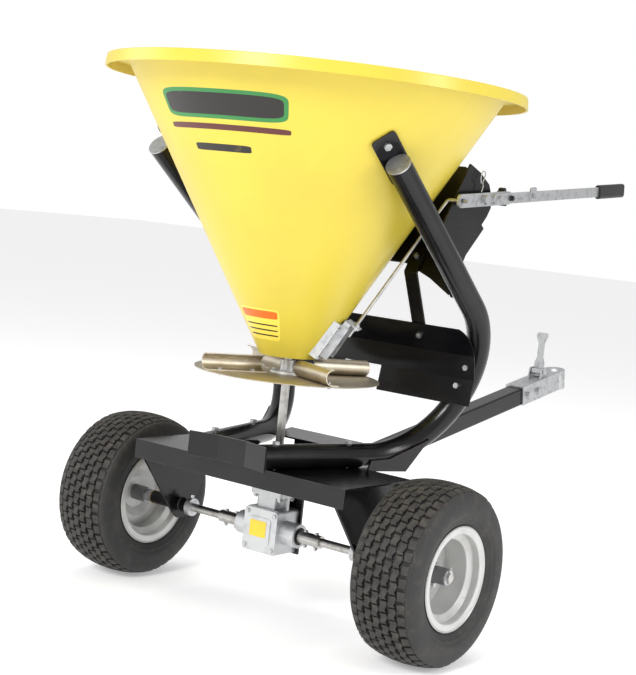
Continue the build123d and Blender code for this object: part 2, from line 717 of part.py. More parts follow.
with BuildPart() as collar_screws:
    for x in (-252, 252):
        with BuildSketch(level(axle_z + axle_r)):
            with Locations((x, 0)):
                Circle(3.3)
        extrude(amount=16)
        with BuildSketch(level(axle_z + axle_r + 14)):
            with Locations((x, 0)):
                RegularPolygon(5.5, 4)
        extrude(amount=6)
with BuildPart() as axle_spacers:
    tube_x(15, axle_r, 379.5, hub_in - 0.5)
    tube_x(15, axle_r, -hub_in + 0.5, -379.5)
with BuildPart() as axle_washers:
    tube_x(17, axle_r, hub_out + 0.5, hub_out + 3)
    tube_x(17, axle_r, -hub_out - 3, -hub_out - 0.5)
with BuildPart() as cotter_pins:
    for x in (-axle_end + 3.5, axle_end - 3.5):
        with BuildSketch(level(axle_z - 15)):
            with Locations((x, 0)):
                Circle(1.5)
        extrude(amount=29.5)
        with BuildSketch(Plane(origin=at(0, axle_z + 18, x), x_dir=(0, 1, 0), z_dir=(1, 0, 0))):
            Circle(4.5)
            Circle(2.3, mode=Mode.SUBTRACT)
        extrude(amount=1.1, both=True)

bead = 101.8
with BuildPart() as right_tyre:
    with BuildSketch(turned(track_half)):
        with BuildLine():
            flank = [(65.5, 117.5), (79, 138), (tyre_w / 2, 160), (78, 180), (66, 195)]
            Spline(*flank)
            ThreePointArc(flank[-1], (0, tyre_r), (-66, 195))
            Spline(*[(-u, v) for u, v in reversed(flank)])
            Polyline((-65.5, 117.5), (-65.5, bead), (-53, bead), (-53, 110))
            liner = [(53, 110), (66, 132), (71, 158), (66, 176), (52, 186)]
            Spline(*[(-u, v) for u, v in liner])
            ThreePointArc((-52, 186), (0, 192.5), (52, 186))
            Spline(*reversed(liner))
            Polyline((53, 110), (53, bead), (65.5, bead), (65.5, 117.5))
        make_face()
    revolve(axis=axle_axis)
with BuildPart() as right_rim:
    with BuildSketch(turned(track_half)):
        with BuildLine():
            Polyline((-70, 117.5), (-66.5, 114), (-66.5, 101.6), (-50, 101.6), (-43, 86), (43, 86), (50, 101.6),
                     (66.5, 101.6), (66.5, 114), (70, 117.5))
            offset(amount=3, side=Side.RIGHT)
        make_face()
        with BuildLine():
            Polyline((-10.5, 84), (-10.5, 60), (-0.5, 40), (-0.5, 19))
            offset(amount=3.5, side=Side.RIGHT)
        make_face()
    revolve(axis=axle_axis)
    with PolarLocations(0, 1):
        with BuildSketch(Plane(origin=at(0, axle_z, track_half - 40), x_dir=(0, 1, 0), z_dir=(1, 0, 0))):
            with PolarLocations(66, 1, start_angle=113):
                Circle(6)
        extrude(amount=80, mode=Mode.SUBTRACT)
with BuildPart() as right_valve:
    with BuildSketch(Plane(origin=at(0, axle_z, track_half - 22), x_dir=(0, 1, 0), z_dir=(1, 0, 0))):
        with PolarLocations(66, 1, start_angle=113):
            Circle(5.6)
    extrude(amount=22)
    with BuildSketch(Plane(origin=at(0, axle_z, track_half), x_dir=(0, 1, 0), z_dir=(1, 0, 0))):
        with PolarLocations(66, 1, start_angle=113):
            Circle(3.8)
    extrude(amount=32)
with BuildPart() as right_hub:
    tube_x(19, axle_r + run_fit, hub_in, hub_out)
    hole(Plane(origin=at(0, axle_z, 464), z_dir=(0, 0, 1)), 8, 30)
with BuildPart() as drive_pin:
    bolt(Plane(origin=at(0, axle_z + 19.5, 464), z_dir=(0, 0, 1)), 39, 8)
with BuildPart() as left_tyre:
    mirror(right_tyre.part, about=Plane.YZ)
with BuildPart() as left_rim:
    mirror(right_rim.part, about=Plane.YZ)
with BuildPart() as left_valve:
    mirror(right_valve.part, about=Plane.YZ)
with BuildPart() as left_hub:
    tube_x(19, 14, -hub_out, -hub_in)
with BuildPart() as left_hub_bushes:
    tube_x(14, axle_r + run_fit, -hub_out, -hub_out + 26)
    tube_x(14, axle_r + run_fit, -hub_in - 26, -hub_in)

# ================================================================ spinner
fin_z = spinner_z + spinner_t
fin_angles = [67 + 90 * k for k in range(4)]
hub_z = fin_z + 31
with BuildPart() as spinner_shaft:
    tube_z(5, 0, 224, 268)
    tube_z(axle_r, 0, 268, shaft_top)
    hole(Plane(origin=at(0, 650, 0), z_dir=(1, 0, 0)), 8, 20)
    hole(Plane(origin=at(0, fin_z + 20, 0), z_dir=(1, 0, 0)), 6, 20)
    hole(Plane(origin=at(0, axle_z + 42, 0), z_dir=(1, 0, 0)), 2.5, 20)
with BuildPart() as spinner_disc:
    tube_z(spinner_r, axle_r, spinner_z, fin_z)
    fillet(spinner_disc.edges().filter_by(GeomType.CIRCLE).sort_by(SortBy.RADIUS)[-2:], 1.0)
    for angle in fin_angles:
        a = radians(angle)
        for along in (96, 180):
            hole(Plane(origin=at(along * sin(a) + 10 * cos(a), fin_z, along * cos(a) - 10 * sin(a)), z_dir=(0, 0, 1)), 6, 8)
    for k in range(4):
        a = radians(22 + 90 * k)
        hole(Plane(origin=at(31 * sin(a), fin_z, 31 * cos(a)), z_dir=(0, 0, 1)), 6, 12)
with BuildPart() as spinner_hub:
    tube_z(40, axle_r, fin_z, fin_z + 5)
    tube_z(17, axle_r, fin_z + 5, hub_z)
    for k in range(4):
        a = radians(22 + 90 * k)
        hole(Plane(origin=at(31 * sin(a), fin_z, 31 * cos(a)), z_dir=(0, 0, 1)), 6, 12)
    hole(Plane(origin=at(0, fin_z + 20, 0), z_dir=(1, 0, 0)), 6, 20)
with BuildPart() as spinner_fins:
    for angle in fin_angles:
        a = radians(angle)
        along = Vector(cos(a), sin(a), 0)
        cross = Plane(origin=at(0, fin_z) + along * fin_in, x_dir=Vector(-sin(a), cos(a), 0), z_dir=along)
        with BuildSketch(cross):
            with Locations((0, fin_h / 2)):
                Circle(fin_h / 2)
                Circle(fin_h / 2 - 2.5, mode=Mode.SUBTRACT)
            with Locations((fin_h / 2, fin_h / 2)):
                Rectangle(fin_h, fin_h + 2, mode=Mode.SUBTRACT)
            with Locations((8, 1.25)):
                Rectangle(16.5, 2.5)
        extrude(amount=214 - fin_in)
        for reach in (96, 180):
            spot = at(0, fin_z) + along * reach + Vector(-sin(a), cos(a), 0) * 10
            hole(Plane(origin=spot, z_dir=(0, 0, 1)), 6, 8)
with BuildPart() as spinner_bolts:
    for angle in fin_angles:
        a = radians(angle)
        for reach in (96, 180):
            spot = at(0, fin_z + 2.5) + Vector(cos(a), sin(a), 0) * reach + Vector(-sin(a), cos(a), 0) * 10
            bolt(Plane(origin=spot, z_dir=(0, 0, 1)), spinner_t + 2.5, 6)
    for k in range(4):
        a = radians(22 + 90 * k)
        bolt(Plane(origin=at(31 * sin(a), fin_z + 5, 31 * cos(a)), z_dir=(0, 0, 1)), spinner_t + 5, 6)
with BuildPart() as hub_pin:
    with BuildSketch(Plane(origin=at(0, fin_z + 20, -21), z_dir=(1, 0, 0))):
        Circle(3)
    extrude(amount=42)
with BuildPart() as agitator_pin:
    with BuildSketch(Plane(origin=at(0, 650, -40), z_dir=(1, 0, 0))):
        Circle(4)
    extrude(amount=80)

# ================================================================ gate, rod and lever
guide_low, guide_high = 146.0, 245.0
guide_face = cone_plane(gate_az, 0, 3.3)
with BuildPart() as gate_guide:
    with BuildSketch(guide_face):
        with BuildLine():
            Polyline((guide_low, -53), (guide_high, -62), (guide_high, 62), (guide_low, 53), close=True)
        make_face()
    extrude(amount=-30)
    with BuildSketch(guide_face.offset(-3)):
        with BuildLine():
            Polyline((guide_low + 3, -50), (guide_high - 3, -59), (guide_high - 3, 59), (guide_low + 3, 50), close=True)
        make_face()
    extrude(amount=-40, mode=Mode.SUBTRACT)
    # the skirt follows the hopper's wall
    with BuildSketch(Plane(origin=(0, axle_y, 0), x_dir=(1, 0, 0), z_dir=(0, -1, 0))):
        with BuildLine():
            Polyline((0, apex_z), (cone_r(900) + 0.3, 900), (0, 900), close=True)
        make_face()
    revolve(axis=spin_axis, mode=Mode.SUBTRACT)
    for sign in (-1, 1):
        with BuildSketch(guide_face):
            with Locations(((157 + guide_high) / 2, sign * 39.5)):
                Rectangle(guide_high - 157, 3)
        extrude(amount=18.7)
        with BuildSketch(guide_face.offset(16.9)):
            with Locations(((157 + guide_high) / 2, sign * 36.5)):
                Rectangle(guide_high - 157, 9)
        extrude(amount=1.8)
    with BuildSketch(guide_face.offset(1)):
        with Locations((172, 0)):
            RectangleRounded(44, 56, 9)
    extrude(amount=-30, mode=Mode.SUBTRACT)
    for seat in guide_seats:
        hole(seat, 5, 30)
with BuildPart() as guide_screws:
    for seat in guide_seats:
        bolt(seat, 26, 5, nut=False)

gate_face = cone_plane(gate_az, 0, 3.6)
tab_low, tab_high = 252.0, 256.0
with BuildPart() as gate_plate:
    with BuildSketch(gate_face):
        with Locations(((148 + tab_high) / 2, 0)):
            Rectangle(tab_high - 148, 2 * gate_half)
    extrude(amount=3)
    for sign in (-1, 1):
        with BuildSketch(gate_face):
            with Locations(((158 + tab_high) / 2, sign * (gate_half - 1.5))):
                Rectangle(tab_high - 158, 3)
        extrude(amount=15.8)
    with BuildSketch(gate_face):
        with Locations(((tab_low + tab_high) / 2, 0)):
            Rectangle(tab_high - tab_low, 40)
    extrude(amount=36)
    rod_low = cone_plane(gate_az, 226, rod_off)
    rod_line = Plane(origin=rod_low.origin, z_dir=rod_low.x_dir)
    hole(rod_line.offset(28), 2 * rod_r, 12)
with BuildPart() as control_rod:
    corner = Vector(pin_x, axle_y + pin_y, pin_z)
    with BuildLine():
        FilletPolyline(rod_line.origin, corner, Vector(347, corner.Y, corner.Z), radius=12)
    with BuildSketch(rod_line):
        Circle(rod_r)
    sweep()
with BuildPart() as rod_nuts:
    for along in (tab_low - 6.5, tab_high):
        with BuildSketch(rod_line.offset(along - 226)):
            RegularPolygon(7.4, 6)
            Circle(rod_r + 0.05, mode=Mode.SUBTRACT)
        extrude(amount=6.5)

lever_plane = Plane(origin=at(pivot_y, pivot_z, lever_x), x_dir=(0, cos(rise), sin(rise)), z_dir=(1, 0, 0))
knob_at = 111.6
bar_end = 688.8
lever_seats = [
    Plane(origin=lever_plane.offset(2 * lever_t).origin + lever_plane.x_dir * u, x_dir=lever_plane.x_dir, z_dir=(1, 0, 0))
    for u in (62.0,)
]
tab_seat = Plane(origin=lever_plane.offset(2 * lever_t + 2).origin + lever_plane.x_dir * 213, z_dir=(1, 0, 0))
with BuildPart() as lever_yoke:
    with BuildSketch(lever_plane):
        with Locations((9, 0)):
            RectangleRounded(230, 31, 12)
        Circle(6 + run_fit, mode=Mode.SUBTRACT)
        with Locations((-88, 0)):
            SlotOverall(17, 10.4, mode=Mode.SUBTRACT)
        with Locations((knob_at, 0)):
            Circle(4 + run_fit, mode=Mode.SUBTRACT)
    extrude(amount=lever_t)
    for seat in lever_seats:
        hole(seat, 8, 20)
with BuildPart() as lever_bar:
    with BuildSketch(lever_plane.offset(lever_t)):
        with Locations(((36 + bar_end) / 2, 0)):
            RectangleRounded(bar_end - 36, 25, 10)
        with Locations((knob_at, 0)):
            Circle(4 + run_fit, mode=Mode.SUBTRACT)
    extrude(amount=lever_t)
    for seat in lever_seats:
        hole(seat, 8, 20)
    hole(tab_seat, 8, 20)
with BuildPart() as lever_stop:
    with BuildSketch(lever_plane.offset(2 * lever_t)):
        with Locations((213, 6)):
            RectangleRounded(30, 34, 6)
    extrude(amount=2)
    hole(tab_seat, 8, 10)
with BuildPart() as lever_bolts:
    for seat in lever_seats:
        bolt(seat, 2 * lever_t, 8)
    bolt(tab_seat, lever_t + 2, 8)
with BuildPart() as lever_grip:
    middle = lever_plane.offset(1.5 * lever_t)
    grip_back = Plane(origin=middle.origin + middle.x_dir * (bar_end - 134), x_dir=(1, 0, 0), z_dir=middle.x_dir)
    with BuildSketch(grip_back):
        RectangleRounded(16, 36, 7.5)
    extrude(amount=137)
    grip_ends = lever_grip.faces().sort_by(Axis(middle.origin, middle.x_dir))
    fillet(grip_ends[-1].edges(), 3)
    with BuildSketch(grip_back.offset(-1)):
        Rectangle(lever_t + 0.1, 25.1)
    extrude(amount=135.5, mode=Mode.SUBTRACT)
with BuildPart() as clamp_knob:
    knob_plane = Plane(origin=lever_plane.origin + lever_plane.x_dir * knob_at, x_dir=(0, 1, 0), z_dir=(1, 0, 0))
    with BuildSketch(knob_plane.offset(307.5 - lever_x)):
        Circle(17)
        with PolarLocations(16.5, 5, start_angle=90):
            Circle(6.5)
    extrude(amount=16)
    fillet(clamp_knob.faces().sort_by(Axis.X)[0].edges(), 2)
    with BuildSketch(knob_plane.offset(323.5 - lever_x)):
        Circle(11)
    extrude(amount=4.5)
with BuildPart() as knob_stud:
    with BuildSketch(knob_plane.offset(312 - lever_x)):
        Circle(4)
    extrude(amount=38)
    with BuildSketch(knob_plane.offset(2 * lever_t + 0.5)):
        RegularPolygon(7.4, 6)
    extrude(amount=5)

pivot_seat = Plane(origin=at(pivot_y, pivot_z, lever_x + lever_t + 2.5), z_dir=(1, 0, 0))
with BuildPart() as lever_pivot_bolt:
    bolt(pivot_seat, lever_x + lever_t + 2.5 - (cheek_x - cheek_t), 12)
    with BuildSketch(pivot_seat):
        Circle(12)
        Circle(6, mode=Mode.SUBTRACT)
    extrude(amount=-2)
with BuildPart() as lever_spacer:
    with BuildSketch(Plane(origin=at(pivot_y, pivot_z, cheek_x), z_dir=(1, 0, 0))):
        Circle(11)
        Circle(6 + bolt_fit, mode=Mode.SUBTRACT)
    extrude(amount=lever_x - 0.5 - cheek_x)

# ================================================================ coupler
socket_at, socket_up = ball_at, 6.0
latch_at, latch_up = 1232.0, 45.0
skin = tongue_size / 2 + 0.5
with BuildPart() as coupler_body:
    with BuildSketch(tongue_side(-coupler_half)):
        with Locations(((coupler_rear + socket_at) / 2, (coupler_half - 25) / 2)):
            Rectangle(socket_at - coupler_rear, coupler_half + 25)
    extrude(amount=2 * coupler_half)
    nose = tongue_side(0)
    up_dir = nose.y_dir
    ball = nose.origin + nose.x_dir * socket_at + up_dir * socket_up
    with BuildSketch(Plane(origin=ball + up_dir * (-25 - socket_up), x_dir=(1, 0, 0), z_dir=up_dir)):
        Circle(nose_r)
    extrude(amount=25 + coupler_half)
    add(Sphere(31.0, mode=Mode.PRIVATE).moved(Location(ball)))
    with BuildSketch(tongue_side(-skin)):
        with Locations(((coupler_rear - 10 + 1296) / 2, (skin - 40) / 2)):
            Rectangle(1296 - coupler_rear + 10, skin + 40)
    extrude(amount=2 * skin, mode=Mode.SUBTRACT)
    with BuildSketch(tongue_side(-24)):
        with Locations((1306, -16)):
            Rectangle(24, 48)
    extrude(amount=48, mode=Mode.SUBTRACT)
    add(Sphere(ball_r, mode=Mode.PRIVATE).moved(Location(ball)), mode=Mode.SUBTRACT)
    with BuildSketch(Plane(origin=ball, x_dir=(1, 0, 0), z_dir=up_dir)):
        Circle(ball_r)
    extrude(amount=-60, mode=Mode.SUBTRACT)
    # ears for the latch, and the slot its jaw hangs through
    for x in (-21.5, 17.5):
        with BuildSketch(tongue_side(x)):
            with BuildLine():
                Polyline((1212, coupler_half - 0.5), (1252, coupler_half - 0.5), (1242, 56), (1222, 56), close=True)
            make_face()
            with Locations((latch_at, latch_up)):
                Circle(4 + bolt_fit, mode=Mode.SUBTRACT)
        extrude(amount=4)
    with BuildSketch(Plane(origin=nose.origin + nose.x_dir * 1236 + up_dir * 20, x_dir=(1, 0, 0), z_dir=up_dir)):
        Rectangle(15, 30)
    extrude(amount=20, mode=Mode.SUBTRACT)
    for seat in coupler_bolt_seats:
        hole(seat, 12, 70)
with BuildPart() as coupler_bolts:
    for seat in coupler_bolt_seats:
        bolt(seat, 2 * coupler_half, 12)
with BuildPart() as latch_pin:
    pin_mid = nose.origin + nose.x_dir * latch_at + up_dir * latch_up
    with BuildSketch(Plane(origin=pin_mid - Vector(24.5, 0, 0), z_dir=(1, 0, 0))):
        Circle(4)
    extrude(amount=49)
    for x in (-24.5, 21.8):
        with BuildSketch(Plane(origin=pin_mid + Vector(x, 0, 0), z_dir=(1, 0, 0))):
            Circle(7)
        extrude(amount=2.7)
with BuildPart() as coupler_jaw:
    with BuildSketch(tongue_side(-8)):
        with BuildLine():
            Polyline((1228, 33), (1228, -10), (1290, -10), (1290, -18), (1300, -18), (1303, -12), (1303, 0),
                     (1236, 0), (1236, 33), close=True)
        make_face()
    extrude(amount=16)
    with BuildSketch(tongue_side(-22)):
        with Locations((1295, -9)):
            Rectangle(9, 17)
    extrude(amount=44)
    with BuildSketch(tongue_side(-14)):
        with Locations((1232, 15)):
            Rectangle(12, 40)
    extrude(amount=7.5, mode=Mode.SUBTRACT)
    with BuildSketch(tongue_side(6.5)):
        with Locations((1232, 15)):
            Rectangle(12, 40)
    extrude(amount=7.5, mode=Mode.SUBTRACT)
with BuildPart() as latch_handle:
    with BuildSketch(Plane(origin=pin_mid - Vector(16, 0, 0), z_dir=(1, 0, 0))):
        Circle(9)
        Circle(4 + run_fit, mode=Mode.SUBTRACT)
    extrude(amount=32)
    with BuildSketch(Plane(origin=pin_mid + Vector(0, 9, 0), x_dir=(1, 0, 0), z_dir=(0, -1, 0))):
        with BuildLine():
            right = [(16, 0), (16, 26), (9.5, 42), (9.5, 84), (18, 103), (18, 111), (13, 116)]
            Polyline(*right, *[(-u, v) for u, v in reversed(right)], close=True)
        make_face()
    extrude(amount=5)

# ================================================================ bolts of the frame
deck_seats = []
for back_off in (-272.0, -62.0):
    spot = bend_start + run * back_off
    for sign in (-1, 1):
        deck_seats.append(Plane(origin=(sign * spot.X, spot.Y, deck_top + 2 * tube_r), z_dir=(0, 0, 1)))
with BuildPart() as frame_bolts:
    for seat in deck_seats:
        bolt(seat, 2 * tube_r + deck_t, 10)
    for seat in shield_seats:
        bolt(seat, 14, 8, nut=False)
    for seat in strut_seats:
        bolt(seat, strut_t + shield_t + 0.1, 8)
    for x in (strut_x, -strut_x):
        bolt(Plane(origin=strut_seat.origin + Vector(x, 0, 0), x_dir=strut_seat.x_dir, z_dir=strut_seat.z_dir),
             web_t + strut_t, 8)
tab_seat_r = hopper_tab_plane.offset(0)
with BuildPart() as hopper_bolts:
    for seat in (hopper_tab_plane, flipped(hopper_tab_plane)):
        bolt(seat, 16, 10)
    for along in (500, 640):
        bolt(cone_plane(90, along, web_gap + web_t), web_gap + web_t + wall + 1, 10)

for piece, drill, depth in ((right_frame_tube, 10, 80), (left_frame_tube, 10, 80), (deck, 10, 80)):
    with piece:
        for seat in deck_seats:
            hole(seat, drill, depth)
for piece in (right_frame_tube, left_frame_tube):
    with piece:
        for seat in shield_seats:
            hole(seat, 8, 16)

# ================================================================ export


def together(*pieces):
    """Several small pieces of one assembly, kept as separate solids under one name."""
    with BuildPart() as group:
        for piece in pieces:
            add(piece.part)
    return group


for piece, name in (
    (deck, "deck_plate"), (both_sides(right_hanger), "hanger_plates"),
    (right_frame_tube, "right_frame_tube"), (left_frame_tube, "left_frame_tube"), (tube_plugs, "tube_plugs"),
    (rear_tie_strap, "rear_tie_strap"), (bridge, "bridge_bracket"),
    (together(both_sides(right_gusset), tongue_brackets), "frame_gussets"), (tongue, "tongue"),
    (both_sides(right_hopper_tab), "hopper_tabs"), (saddle_web, "front_saddle"),
    (both_sides(right_cheek), "saddle_cheeks"), (both_sides(right_strut), "saddle_struts"),
    (spinner_shield, "spinner_shield"), (hopper, "hopper"), (gate_guide, "gate_guide"),
    (both_sides(right_bearing_tube), "bearing_tubes"), (together(axle_bushes, hopper_bush), "shaft_bushes"),
    (gearbox_case, "gearbox_case"), (gearbox_cover, "gearbox_cover"), (gearbox_bracket, "gearbox_bracket"),
    (gearbox_bearings, "gearbox_bearings"), (gearbox_seals, "gearbox_seals"),
    (together(frame_bolts, gearbox_bolts), "frame_bolts"),
    (together(hopper_bolts, guide_screws, saddle_spacers), "hopper_bolts"),
    (together(lever_pivot_bolt, lever_spacer), "lever_pivot_bolt"),
    (coupler_body, "coupler_body"), (together(coupler_bolts, latch_pin), "coupler_bolts"),
    (half_axles, "half_axles"), (gearbox_shaft, "gearbox_shaft"), (crown_gear, "crown_gear"),
    (shaft_couplings, "shaft_couplings"), (set_collars, "set_collars"),
    (together(coupling_bolts, crown_pin, collar_screws, cotter_pins, drive_pin), "axle_pins_and_bolts"),
    (together(axle_spacers, axle_washers), "axle_spacers"),
    (right_tyre, "right_tyre"), (together(right_rim, right_valve), "right_rim"), (right_hub, "right_hub"),
    (left_tyre, "left_tyre"), (together(left_rim, left_valve), "left_rim"), (left_hub, "left_hub"),
    (left_hub_bushes, "left_hub_bushes"),
    (spinner_shaft, "spinner_shaft"), (bevel_pinion, "bevel_pinion"), (spinner_disc, "spinner_disc"),
    (spinner_hub, "spinner_hub"), (spinner_fins, "spinner_fins"),
    (together(spinner_bolts, hub_pin, pinion_pin), "spinner_bolts"), (agitator_pin, "agitator_pin"),
    (gate_plate, "gate_plate"), (control_rod, "control_rod"), (rod_nuts, "rod_nuts"),
    (lever_yoke, "lever_yoke"), (lever_bar, "lever_bar"), (together(lever_bolts, lever_stop), "lever_bolts"),
    (lever_grip, "lever_grip"), (together(clamp_knob, knob_stud), "clamp_knob"),
    (latch_handle, "latch_handle"), (coupler_jaw, "coupler_jaw"),
):
    save(piece, name)
print(len(parts), "parts")
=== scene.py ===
# %% [markdown]
# # A tow-behind cone spreader
# A yellow moulded hopper stands over a spinning disc. A black tube frame carries it,
# and the right-hand turf tyre drives the disc through a small bevel gearbox.
# The imported CAD model is the fixed frame: every bracket, bolt and gear is already in place.
# This script gives those pieces their finishes, and builds what the CAD leaves plain:
# the treaded tyres, the weld beads, the label plate and the small wire clip.

# %% Load the frame, and a helper that measures a piece's box
import json
import math

import bmesh
import bpy
from mathutils import Matrix, Vector


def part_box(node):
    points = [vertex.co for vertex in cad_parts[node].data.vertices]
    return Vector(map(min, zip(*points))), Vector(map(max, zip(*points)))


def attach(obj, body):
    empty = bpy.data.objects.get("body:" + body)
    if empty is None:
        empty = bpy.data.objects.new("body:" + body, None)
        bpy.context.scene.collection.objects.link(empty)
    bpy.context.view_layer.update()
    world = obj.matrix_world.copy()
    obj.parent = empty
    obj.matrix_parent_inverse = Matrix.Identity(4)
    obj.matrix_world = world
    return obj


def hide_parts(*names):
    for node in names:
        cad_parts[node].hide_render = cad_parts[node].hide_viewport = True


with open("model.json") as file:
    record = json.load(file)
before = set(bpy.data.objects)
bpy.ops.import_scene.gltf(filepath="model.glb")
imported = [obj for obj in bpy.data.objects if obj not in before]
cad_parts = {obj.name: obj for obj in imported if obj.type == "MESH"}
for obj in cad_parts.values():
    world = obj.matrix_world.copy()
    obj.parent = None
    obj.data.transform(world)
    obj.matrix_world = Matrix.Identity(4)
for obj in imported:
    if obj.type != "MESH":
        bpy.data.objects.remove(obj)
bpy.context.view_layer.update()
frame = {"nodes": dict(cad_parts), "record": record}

# %% [markdown]
# The wheels, welds, plate and clip are placed from the CAD pieces' own boxes. The tyre's
# profile and the bands on the hopper are drawn in fixed sizes. The axle's centre is the
# middle of the gearbox shaft.

# %% Places read from the frame
def middle(node):
    low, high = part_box(node)
    return (low + high) / 2


axle = middle("gearbox_shaft")
tyre_low, tyre_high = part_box("right_tyre")
tyre_radius = (tyre_high.z - tyre_low.z) / 2
wheel_x = (tyre_high.x + tyre_low.x) / 2
print("axle", tuple(round(v, 3) for v in axle), "tyre radius", round(tyre_radius, 3))

# %% [markdown]
# ## Camera
# The machine is seen from behind and to the right, from about a person's chest height,
# with a long lens. The camera leans a few degrees, so its axes are written as a matrix.

# %% Camera
azimuth, elevation, lean = math.radians(36.955), math.radians(4.901), math.radians(6.143)
sensor_width, lens = 36, 80.63
eye = Vector((2.1631, axle.y - 2.7699, 0.9661))
ahead = Vector((-math.sin(azimuth) * math.cos(elevation),
                math.cos(azimuth) * math.cos(elevation),
                -math.sin(elevation)))
level_right = Vector((math.cos(azimuth), math.sin(azimuth), 0))
level_up = level_right.cross(ahead)
right = level_right * math.cos(lean) + level_up * math.sin(lean)
up = level_up * math.cos(lean) - level_right * math.sin(lean)
camera = bpy.data.objects.new("camera", bpy.data.cameras.new("camera"))
bpy.context.scene.collection.objects.link(camera)
camera.data.sensor_width = sensor_width
camera.data.lens = lens
camera.matrix_world = Matrix((
    (right.x, up.x, -ahead.x, eye.x),
    (right.y, up.y, -ahead.y, eye.y),
    (right.z, up.z, -ahead.z, eye.z),
    (0, 0, 0, 1),
))
bpy.context.scene.camera = camera
print("camera at", tuple(round(v, 3) for v in eye))

# %% [markdown]
# ## Light and floor
# A plain studio: four soft boxes over a pale floor that glows a little. The world lights the
# machine gently, and the camera sees it as plain white. The tall box on the right draws long
# highlights on the black tubes.

# %% Light and floor
white = (1, 1, 1, 1)
world_light, floor_glow = 0.62, 0.30
floor_half = 30
scene = bpy.context.scene
scene.view_settings.view_transform = "Standard"
world = bpy.data.worlds.new("studio")
scene.world = world
world.use_nodes = True
sky = world.node_tree
glow = sky.nodes["Background"]
glow.inputs["Color"].default_value = white
glow.inputs["Strength"].default_value = world_light
backdrop = sky.nodes.new("ShaderNodeBackground")
backdrop.inputs["Color"].default_value = white
seen = sky.nodes.new("ShaderNodeLightPath")
blend = sky.nodes.new("ShaderNodeMixShader")
sky.links.new(seen.outputs["Is Camera Ray"], blend.inputs[0])
sky.links.new(glow.outputs[0], blend.inputs[1])
sky.links.new(backdrop.outputs[0], blend.inputs[2])
sky.links.new(blend.outputs[0], sky.nodes["World Output"].inputs["Surface"])


def softbox(name, place, power, size):
    """A rectangular area light that faces the middle of the machine."""
    light = bpy.data.lights.new(name, "AREA")
    light.shape = "RECTANGLE"
    light.size, light.size_y = size
    light.energy = power
    lamp = bpy.data.objects.new(name, light)
    scene.collection.objects.link(lamp)
    lamp.location = place
    target = Vector((0, axle.y, 0.7))
    lamp.rotation_mode = "QUATERNION"
    lamp.rotation_quaternion = (target - Vector(place)).to_track_quat("-Z", "Y")


softbox("key", (0.4, axle.y - 4.2, 2.9), 130, (1.8, 1.4))
softbox("side_strip", (3.8, axle.y + 0.6, 1.9), 55, (0.7, 2.4))
softbox("left_fill", (-3.6, axle.y - 1.8, 1.6), 38, (2.0, 2.0))
softbox("top", (0.0, axle.y + 0.8, 4.2), 60, (3.0, 3.0))

floor_mesh = bpy.data.meshes.new("floor")
floor_corners = [(x * floor_half, y * floor_half, 0)
                 for x, y in ((-1, -1), (1, -1), (1, 1), (-1, 1))]
floor_mesh.from_pydata(floor_corners, [], [(0, 1, 2, 3)])
floor = bpy.data.objects.new("floor", floor_mesh)
scene.collection.objects.link(floor)
floor_paint = bpy.data.materials.new("pale_floor")
floor_paint.use_nodes = True
floor_shader = floor_paint.node_tree.nodes["Principled BSDF"]
floor_shader.inputs["Base Color"].default_value = (0.93, 0.93, 0.93, 1)
floor_shader.inputs["Roughness"].default_value = 0.9
floor_shader.inputs["Specular IOR Level"].default_value = 0.1
floor_shader.inputs["Emission Color"].default_value = white
floor_shader.inputs["Emission Strength"].default_value = floor_glow
floor_mesh.materials.append(floor_paint)

# %% [markdown]
# ## Shared effects
# Three effects turn up in almost every finish, so each is built once as a shader node group:
# a fine grain that bumps the surface, a worn-edge mask, and a mask for dust and mottling.

# %% Helper to build a node group
def node_group(name, inputs, outputs):
    tree = bpy.data.node_groups.new(name, "ShaderNodeTree")
    for label, kind, value in inputs:
        socket = tree.interface.new_socket(name=label, in_out="INPUT", socket_type=kind)
        socket.default_value = value
    for label, kind in outputs:
        tree.interface.new_socket(name=label, in_out="OUTPUT", socket_type=kind)
    return tree, tree.nodes.new("NodeGroupInput"), tree.nodes.new("NodeGroupOutput")


def math_node(tree, operation, first, second=0.0, clamp=False):
    node = tree.nodes.new("ShaderNodeMath")
    node.operation = operation
    node.use_clamp = clamp
    for socket, value in zip(node.inputs, (first, second)):
        if isinstance(value, (int, float)):
            socket.default_value = value
        else:
            tree.links.new(value, socket)
    return node.outputs[0]


def noise(tree, scale, detail=3.0, vector=None):
    node = tree.nodes.new("ShaderNodeTexNoise")
    node.inputs["Detail"].default_value = detail
    if isinstance(scale, (int, float)):
        node.inputs["Scale"].default_value = scale
    else:
        tree.links.new(scale, node.inputs["Scale"])
    if vector is None:
        vector = tree.nodes.new("ShaderNodeTexCoord").outputs["Object"]
    tree.links.new(vector, node.inputs["Vector"])
    return node.outputs["Fac"]


# %% Grain: a noise value and the bump it makes
grain, grain_in, grain_out = node_group(
    "grain",
    [("Scale", "NodeSocketFloat", 200.0),
     ("Strength", "NodeSocketFloat", 0.1),
     ("Depth", "NodeSocketFloat", 0.001)],
    [("Value", "NodeSocketFloat"), ("Normal", "NodeSocketVector")],
)
grain_noise = noise(grain, grain_in.outputs["Scale"], 4.0)
grain_bump = grain.nodes.new("ShaderNodeBump")
grain.links.new(grain_noise, grain_bump.inputs["Height"])
grain.links.new(grain_in.outputs["Strength"], grain_bump.inputs["Strength"])
grain.links.new(grain_in.outputs["Depth"], grain_bump.inputs["Distance"])
grain.links.new(grain_noise, grain_out.inputs["Value"])
grain.links.new(grain_bump.outputs["Normal"], grain_out.inputs["Normal"])

